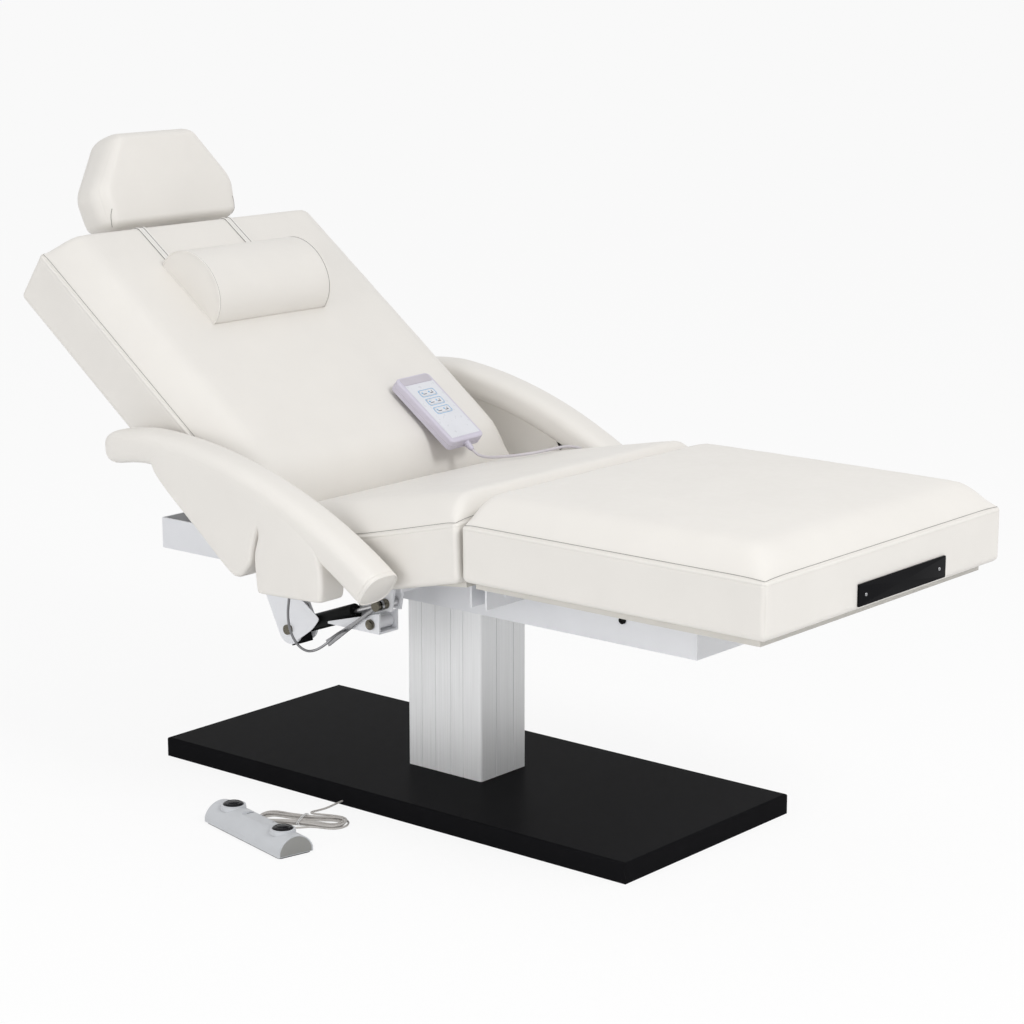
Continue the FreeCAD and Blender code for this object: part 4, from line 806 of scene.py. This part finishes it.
hank = {"x": -0.088, "y": -0.384, "turn": math.radians(26), "steps": 65, "straight": 0.056, "round": 0.036,
        "waist": 0.003, "pitch": 0.0052, "layer": 0.0048, "lift": 0.0022, "fan": math.radians(3.4),
        "spread": 0.05, "draw": 0.008, "room": 0.0055, "tieLevel": 0.0064, "tieHigh": 0.0052,
        "tieThick": 0.0009, "tieShift": 0.0016,
        "lead": ((-0.06986, -0.46632, 0.010), (-0.0663, -0.4507, 0.0095), (-0.065, -0.436, 0.007),
                 (-0.064, -0.421, 0.0042), (-0.060, -0.410, 0.0026))}


def hankPoints():
    # oblong turns that close in on the lower layer and open out on the upper one: four points round
    # each end and two along each side, which are drawn in at the waist; each turn sways a little about
    # the tie and reaches a little further or less than the one before it, and the last point, where the
    # tail begins, stays in its place
    step = np.arange(hank["steps"] + 1)
    left = hank["steps"] - step
    radius = hank["round"] - hank["pitch"] * np.minimum(step, left) / 12
    place = step % 12
    side = np.isin(place, (0, 5, 6, 11))
    end = np.where(place < 5, 1.0, -1.0)
    a = np.radians(-67.5 + 45 * np.where(place < 5, place - 1, place - 7))
    free = np.minimum(1, left / 4)
    reach = hank["straight"] * (1 + hank["spread"] * free * np.cos(step / 7))
    waist = hank["waist"] + hank["draw"] * free
    sideX = hank["straight"] / 2 * np.where(np.isin(place, (0, 5)), 1, -1)
    sideY = (radius - waist) * np.where(np.isin(place, (5, 6)), 1, -1)
    x = np.where(side, sideX, end * (reach + radius * np.cos(a)))
    y = np.where(side, sideY, end * radius * np.sin(a))
    z = hank["lift"] + np.where(step > hank["steps"] / 2, hank["layer"], 0.0)
    sway = hank["turn"] + hank["fan"] * free * np.sin(step / 5)
    c = np.cos(sway)
    s = np.sin(sway)
    turns = np.stack((hank["x"] + x * c - y * s, hank["y"] + x * s + y * c, z), -1)
    return [*hank["lead"], *map(tuple, turns.tolist())]


def lineLength(name, curve):
    # length of the curve's bare line, as Blender draws it
    bare = curve.copy()
    bare.bevel_depth = 0
    probe = bpy.data.objects.new(name + "Line", bare)
    mesh = bpy.data.meshes.new_from_object(probe)
    spots = np.empty(len(mesh.vertices) * 3)
    mesh.vertices.foreach_get("co", spots)
    bpy.data.objects.remove(probe)
    bpy.data.curves.remove(bare)
    bpy.data.meshes.remove(mesh)
    return float(np.linalg.norm(np.diff(spots.reshape(-1, 3), axis=0), axis=1).sum())


def layCord(name, cfg):
    points = cfg["points"]
    curve = bpy.data.curves.new(name, "CURVE")
    curve.dimensions = "3D"
    line = curve.splines.new("NURBS")
    line.points.add(len(points) - 1)
    line.points.foreach_set("co", np.insert(np.array(points), 3, 1.0, axis=1).ravel())
    line.order_u = 3
    line.use_endpoint_u = True
    line.resolution_u = 10
    curve.bevel_depth = cfg["radius"]
    curve.bevel_resolution = 4
    curve.use_fill_caps = True
    curve.materials.append(finish[cfg["mat"]])
    piece = newObject(name, curve)
    settle(piece, cfg["body"], cfg["slot"], (cfg["node"],))
    length = lineLength(name, curve)
    print(name, "is", round(length, 3), "m long")
    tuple(points[0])


cords["footHank"] = {"points": hankPoints(), "radius": 0.002, "mat": "footCord", "body": "base",
                     "node": "foot_cord_hank", "slot": "cords", "lay": "coiled", "stiff": "limp"}
for name, cfg in cords.items():
    layCord(name, cfg)
print("cords laid")


# finishes for the solids that stay in view

plain = {
    "baseBlack": ("base_plate",),
    "column": ("column_outer", "column_inner"),
    "frameWhite": ("column_head_plate", "frame_floor", "frame_side_near", "frame_side_far", "frame_end_head",
                   "frame_end_foot", "seat_bearers", "hinge_blocks", "back_levers", "spring_lugs",
                   "arm_bracket_near", "arm_bracket_far", "knee_hinge_fixed", "knee_hinge_moving"),
    "board": ("seat_board", "back_board", "leg_board", "head_board"),
    "steel": ("lift_jack_rod", "leg_jack_rod", "back_hinge_shaft", "knee_hinge_pin", "spring_rod",
              "head_yoke", "lift_jack_tube", "leg_jack_tube", "head_sockets"),
    "springBlack": ("spring_cylinder",),
    "chrome": ("release_lever",),
    "bolt": ("spring_pin", "spring_lug_bolt"),
    "glide": ("column_glides",),
    "caseBlack": ("control_box",),
    "plateBlack": ("end_plate",),
    "handShell": ("hand_control",),
    "handPanel": ("hand_key_1", "hand_key_2", "hand_key_3"),
    "footShell": ("foot_housing",),
    "footBlack": ("foot_pedal_head", "foot_pedal_foot"),
    "rubber": ("foot_sole",),
    "handCord": ("cord_gland",),
}
for mat, names in plain.items():
    for node in names:
        nodes[node].data.materials.clear()
        nodes[node].data.materials.append(finish[mat])
print("solids finished")


# hand control: x runs down its length, y across, z out of its face, measured from the middle key's axis

hand = {"spot": (-0.227372, 0.165414, 0.731643), "row": -0.0168, "axisDown": 0.0244, "long": 0.190,
        "thick": 0.026, "keys": (-0.0418, -0.0168, 0.0082), "keyLong": 0.013, "keyWide": 0.042,
        "keyTop": 0.0268, "keyGap": 0.0004, "halfWide": 0.052, "along": (0.7971, 0.0349, -0.6028),
        "out": (0.6032, 0.0, 0.7976), "sheet": (-0.070, 0.084), "sheetHalf": 0.044, "sheetProud": 0.0003,
        "sheetThick": 0.0004, "windowAt": -0.081, "windowHalf": 0.0095, "windowProud": 0.0007,
        "partingUp": 0.012, "corner": 0.012, "frameOut": 0.0026, "frameRadius": 0.0006,
        "partingRadius": 0.0005, "markSide": 0.0105, "markSunk": 0.0003, "markEdge": 0.0002,
        "markProud": 0.00025, "dotProud": 0.0003, "dot": (0.0021, 0.0021, 0.00205),
        "bar": (0.0009, 0.0052, 0.00085), "stroke": (0.0028, 0.0008, 0.00075), "windowEdge": 0.0004,
        "smallRound": 0.004, "partingOut": 0.0001, "frameUp": 0.0005, "relief": 0.020, "reliefRadius": 0.007,
        "reliefTaper": 0.0028, "ribs": (0.0045, 0.0085, 0.0125, 0.0165),
        "ribProfile": ((-0.0014, -0.0008), (-0.0009, 0.0008), (0.0009, 0.0008), (0.0014, -0.0008))}


def handPlace(x, y, z):
    along = np.array(hand["along"])
    out = np.array(hand["out"])
    x, y, z = [v[..., None] for v in np.broadcast_arrays(x - hand["row"], y, z - hand["axisDown"])]
    return np.array(hand["spot"]) + x * along + y * np.cross(out, along) + z * out


def roundLoop(halfX, halfY, radius, n=12, middle=(0, 0)):
    # closed outline of a rectangle with round corners
    turn = np.linspace(0, np.pi / 2, n)
    corners = ((1, 1, 0), (-1, 1, np.pi / 2), (-1, -1, np.pi), (1, -1, 1.5 * np.pi))
    return np.concatenate([np.stack((sx * (halfX - radius) + radius * np.cos(turn + a),
                                     sy * (halfY - radius) + radius * np.sin(turn + a)), -1)
                           for sx, sy, a in corners]) + np.array(middle)


def slab(loop, low, high, edge, place):
    # a flat plate on an outline, its upper rim eased, closed to the middle above and below
    middle = loop.mean(0)
    rows = [(1e-4, low), (1, low), (1, high - edge)]
    for a in np.radians((30, 60, 90)):
        inset = edge * (1 - math.cos(a))
        rows.append((1 - inset / np.abs(loop - middle).max(0), high - edge + edge * math.sin(a)))
    rows.append((1e-4, high))
    rings = np.stack([place(*(middle + (loop - middle) * size).T, z) for size, z in rows])
    return rings, gridFaces(len(rings), len(loop), True)


def makeHandDetails():
    top = hand["thick"]
    keyLong = hand["keyLong"] / 2
    keyWide = hand["keyWide"] / 2
    # pale face sheet round the keys, in cells so that the keys stay open
    gap = keyLong + hand["keyGap"]
    edge = keyWide + hand["keyGap"]
    xs = np.sort([*hand["sheet"], *[k - gap for k in hand["keys"]], *[k + gap for k in hand["keys"]]])
    ys = np.array([-hand["sheetHalf"], -edge, edge, hand["sheetHalf"]])
    xx, yy = np.meshgrid(xs, ys, indexing="ij")
    faces = gridFaces(len(xs), len(ys))
    cell = np.arange(len(faces))
    closed = ~((cell % 3 == 1) & (np.isin(cell // 3, (1, 3, 5))))
    points = handPlace(xx, yy, top + hand["sheetProud"])
    sheet = putMesh("handFace", points, faces[closed], "handPanel", "back", "hand_shell", smooth=False)
    thick = sheet.modifiers.new("sheetThickness", "SOLIDIFY")
    thick.thickness = hand["sheetThick"]
    thick.offset = 0
    # darker window bar across the upper end
    loop = roundLoop(hand["windowHalf"], hand["sheetHalf"], hand["smallRound"], middle=(hand["windowAt"], 0))
    bar = slab(loop, top - hand["windowEdge"], top + hand["windowProud"], hand["windowEdge"], handPlace)
    putMesh("handWindow", *bar, "handTop", "back", "hand_shell")
    # parting line round the shell
    out = hand["partingOut"]
    loop = roundLoop(hand["long"] / 2 + out, hand["halfWide"] + out, hand["corner"], 16)
    path = handPlace(*loop.T, hand["partingUp"])
    putTube("handParting", path, hand["partingRadius"], "handTop", "back", "hand_shell", flat=hand["out"])
    # blue frame round each key, and on each key a dot, a bar and a stroke at both sides
    low = hand["keyTop"] - hand["markSunk"]
    for row, k in enumerate(hand["keys"]):
        number = str(row + 1)
        out = hand["frameOut"]
        loop = roundLoop(keyLong + out, keyWide + out, hand["smallRound"], middle=(k, 0))
        path = handPlace(*loop.T, top + hand["frameUp"])
        putTube("handFrame" + number, path, hand["frameRadius"], "keyBlue", "back", "hand_shell",
                flat=hand["out"])
        dots = []
        marks = []
        for side in (-1, 1):
            y = side * hand["markSide"]
            dot = roundLoop(*hand["dot"], 6, (k - 0.0015, y - 0.005))
            bar = roundLoop(*hand["bar"], 5, (k + 0.0020, y + 0.001))
            stroke = roundLoop(*hand["stroke"], 5, (k - 0.0008, y + 0.004 * side))
            dots.append(slab(dot, low, hand["keyTop"] + hand["dotProud"], hand["markEdge"], handPlace))
            for loop in (bar, stroke):
                marks.append(slab(loop, low, hand["keyTop"] + hand["markProud"], hand["markEdge"], handPlace))
        putMesh("keyDots" + number, *joinParts(dots), "keyBlue", "key_" + number, "hand_keys")
        putMesh("keyMarks" + number, *joinParts(marks), "keyInk", "key_" + number, "hand_keys")
    # ribs of the strain relief
    ribs = []
    turn = np.linspace(0, 2 * np.pi, 24, endpoint=False)
    for down in hand["ribs"]:
        size = hand["reliefRadius"] - hand["reliefTaper"] * down / hand["relief"]
        rings = np.stack([handPlace(hand["long"] / 2 + down + dx, (size + dr) * np.cos(turn),
                                    top / 2 + (size + dr) * np.sin(turn)) for dx, dr in hand["ribProfile"]])
        ribs.append((rings, gridFaces(*rings.shape[:2], True)))
    putMesh("handRelief", *joinParts(ribs), "handShell", "back", "hand_shell")


makeHandDetails()
print("hand control detailed")


# foot control: x along it, y across towards the table, on the floor; the end's steps are (share of the
# outline, out of the end), the collar's and the button's are (out from the pedal's radius, up)

foot = {"x": -0.092, "y": -0.500, "turn": math.radians(-13), "long": 0.265, "wide": 0.076, "high": 0.040,
        "sole": 0.003, "wall": 0.009, "middleUp": 0.018, "pedal": 0.088, "pedalRadius": 0.019,
        "buttonUp": 0.0054,
        "endSteps": ((1e-4, 0.0012), (0.86, 0.0012), (0.89, 0.0010), (0.905, 0.0004), (0.905, -0.0006)),
        "collar": ((0.0006, -0.002), (0.0006, 0.0022), (0.0014, 0.0032), (0.0030, 0.0030), (0.0046, 0.0018),
                   (0.0054, -0.001), (0.0060, -0.007)),
        "button": ((-0.0005, -0.0022), (-0.0012, -0.0004), (-0.0035, 0.0009), (-0.0050, 0.0010),
                   (-0.0056, 0.0004), (-0.0064, 0.0004), (-0.0072, 0.0012), (-0.013, 0.0022),
                   (-0.01899, 0.0024)), "slotAt": (0.036, 0.006), "slotHalf": (0.0011, 0.0075),
        "slotDown": (0.0030, 0.0022)}


def footPlace(x, y, z):
    c = math.cos(foot["turn"])
    s = math.sin(foot["turn"])
    return np.stack(np.broadcast_arrays(foot["x"] + x * c - y * s, foot["y"] + x * s + y * c, z), -1)


def lathe(profile, place, centre=(0, 0), sides=40):
    # rings of (radius, height) about an axis through the centre
    turn = np.linspace(0, 2 * np.pi, sides, endpoint=False)
    c = np.cos(turn)
    s = np.sin(turn)
    rings = np.stack([place(centre[0] + r * c, centre[1] + r * s, z) for r, z in profile])
    return rings, gridFaces(len(rings), sides, True)


def makeFootDetails():
    # dark flat end faces just proud of the housing, on the arch's own outline
    half = foot["wide"] / 2
    high = foot["high"]
    y = np.linspace(-half, half, 41)
    rise = high - foot["sole"] - foot["wall"]
    radius = (half * half + rise * rise) / (2 * rise)
    arch = high - radius + np.sqrt(radius ** 2 - y ** 2)
    feet = ((half, foot["sole"]), (-half, foot["sole"]))
    outline = np.concatenate((np.stack((y, arch), -1), feet))
    middle = np.array([0, foot["middleUp"]])
    parts = []
    for end in (-1, 1):
        rings = np.stack([footPlace(end * (foot["long"] / 2 + out), *(middle + (outline - middle) * size).T)
                          for size, out in foot["endSteps"]])
        parts.append((rings, gridFaces(*rings.shape[:2], True)))
    putMesh("footEnds", *joinParts(parts), "footEnd", "base", "foot_shell")
    # raised collars, and domed button tops with a turned ring
    r = foot["pedalRadius"]
    collar = [(r + out, high + up) for out, up in foot["collar"]]
    button = [(r + out, high + foot["buttonUp"] + up) for out, up in foot["button"]]
    for name, x, body in (("Head", -foot["pedal"], "pedal_head"), ("Foot", foot["pedal"], "pedal_foot")):
        putMesh("footCollar" + name, *lathe(collar, footPlace, (x, 0)), "footShell", "base", "foot_shell")
        putMesh("footButton" + name, *lathe(button, footPlace, (x, 0)), "footBlack", body, "foot_black")
    # dark slabs in the slots at both ends of the middle recess: painted shade inside the slot openings
    slotShades = []
    for end in (-1, 1):
        loop = roundLoop(*foot["slotHalf"], 0.001, 5, (end * foot["slotAt"][0], foot["slotAt"][1]))
        slotShades.append(slab(loop, *[high - down for down in foot["slotDown"]], 0.0002, footPlace))
    putMesh("footSlotShade", *joinParts(slotShades), "keyInk", "base", "foot_shell")
    # white twist tie round the hank's waist
    turn = 2 * np.pi * np.linspace(0, 1, 60)
    c = math.cos(hank["turn"])
    s = math.sin(hank["turn"])
    v = (hank["round"] - hank["waist"] - hank["draw"] + hank["room"]) * np.cos(turn)
    z = hank["tieLevel"] + hank["tieHigh"] * np.sin(turn)
    wrap = []
    for u in (-hank["tieShift"], hank["tieShift"]):
        path = np.stack((hank["x"] + u * c - v * s, hank["y"] + u * s + v * c, z), -1)
        wrap.append(sweepTube(path, hank["tieThick"], 8, (c, s, 0)))
    putMesh("hankTie", *joinParts(wrap), "tie", "base", "cords")


makeFootDetails()
print("foot control detailed")


# bolts of the linkage: washer as (radius, out), and a six-sided head with a turned button as (share of its
# size, out from its top or from the face)

bolts = {"heads": ((-0.201616, -0.2960, 0.347297, "back"), (0.044595, -0.3080, 0.436907, "lift"),
                   (0.017, -0.2980, 0.394, "lift")), "across": 0.0074, "high": 0.0066, "sides": 48,
         "washer": ((1e-5, 0.0), (0.0094, 0.0), (0.0094, 0.0012), (0.0089, 0.0017), (1e-5, 0.0017)),
         "foot": ((1e-3, 0.0016), (1.0, 0.0016)),
         "top": ((1.0, -0.0010), (0.93, -0.0002), (0.80, 0.0), (0.74, -0.0006), (1e-3, -0.0006))}


def sideFace(x, y, z):
    # places on a near face: a runs to the foot end, b up, out towards the near side
    def place(a, b, out):
        return np.stack(np.broadcast_arrays(x + a, y - out, z + b), -1)
    return place


def makeBolts():
    turn = np.linspace(0, 2 * np.pi, bolts["sides"], endpoint=False)
    fold = (turn + np.pi / 6) % (np.pi / 3) - np.pi / 6
    a = bolts["across"] / np.cos(fold) * np.cos(turn)
    b = bolts["across"] / np.cos(fold) * np.sin(turn)
    rows = [*bolts["foot"], *[(size, bolts["high"] + out) for size, out in bolts["top"]]]
    for count, (x, face, z, body) in enumerate(bolts["heads"]):
        place = sideFace(x, face, z)
        rings = np.stack([place(size * a, size * b, out) for size, out in rows])
        head = (rings, gridFaces(*rings.shape[:2], True))
        washer = lathe(bolts["washer"], place, sides=32)
        putMesh("boltHead" + str(count + 1), *joinParts([washer, head]), "bolt", body, "bolts")


makeBolts()


# near lever's cover plate: a broad eased sheet on the lever's outer face

leverFace = {"corners": ((-0.213, 0.448), (-0.186, 0.425), (-0.152, 0.403), (-0.122, 0.3835),
                         (-0.122, 0.3770), (-0.140, 0.3560), (-0.166, 0.3380), (-0.187, 0.3240),
                         (-0.206, 0.3190), (-0.222, 0.3270), (-0.231, 0.345), (-0.234, 0.380),
                         (-0.232, 0.440)), "face": -0.2949, "thick": 0.0014, "edge": 0.0006}
sheet = slab(roundCorners(leverFace["corners"]), 0.0, leverFace["thick"], leverFace["edge"],
             sideFace(0, leverFace["face"], 0))
putMesh("leverFace", *sheet, "frameWhite", "back", "frame_white")


# end plate: eased black plate with two screws; the screw's steps are (radius, out from the plate)

plate = {"x": 0.9754, "thick": 0.0034, "y": 0.038, "z": 0.568, "halfY": 0.1425, "halfZ": 0.020,
         "corner": 0.002, "proud": 0.0004, "edge": 0.0010, "screwIn": 0.022, "screwUp": -0.001,
         "screw": ((0.0034, 0.0), (0.0034, 0.0008), (0.0026, 0.0015), (0.0012, 0.0019), (0.0011, 0.0012),
                   (1e-5, 0.0012))}


def platePlace(a, b, out):
    return np.stack(np.broadcast_arrays(plate["x"] + out, plate["y"] + a, plate["z"] + b), -1)


def makeEndPlate():
    loop = roundLoop(plate["halfY"], plate["halfZ"], plate["corner"], 6)
    face = slab(loop, 0.0, plate["thick"] + plate["proud"], plate["edge"], platePlace)
    putMesh("endPlateFace", *face, "plateBlack", "leg", "foot_black", ("end_plate",))
    profile = [(r, plate["thick"] + out) for r, out in plate["screw"]]
    reach = plate["halfY"] - plate["screwIn"]
    screws = [lathe(profile, platePlace, (y, plate["screwUp"]), 24) for y in (-reach, reach)]
    putMesh("endPlateScrews", *joinParts(screws), "chrome", "leg", "bolts")


makeEndPlate()


# black screw on the tray's near side, its steps as (radius, out)

trayScrew = {"spot": (0.498, -0.140, 0.452),
             "steps": ((0.0072, 0.0), (0.0072, 0.0040), (0.0064, 0.0052), (0.0034, 0.0056), (0.0030, 0.0036),
                       (1e-5, 0.0036))}
screw = lathe(trayScrew["steps"], sideFace(*trayScrew["spot"]), sides=32)
putMesh("trayScrew", *screw, "springBlack", "lift", "bolts")
print("small hardware made")
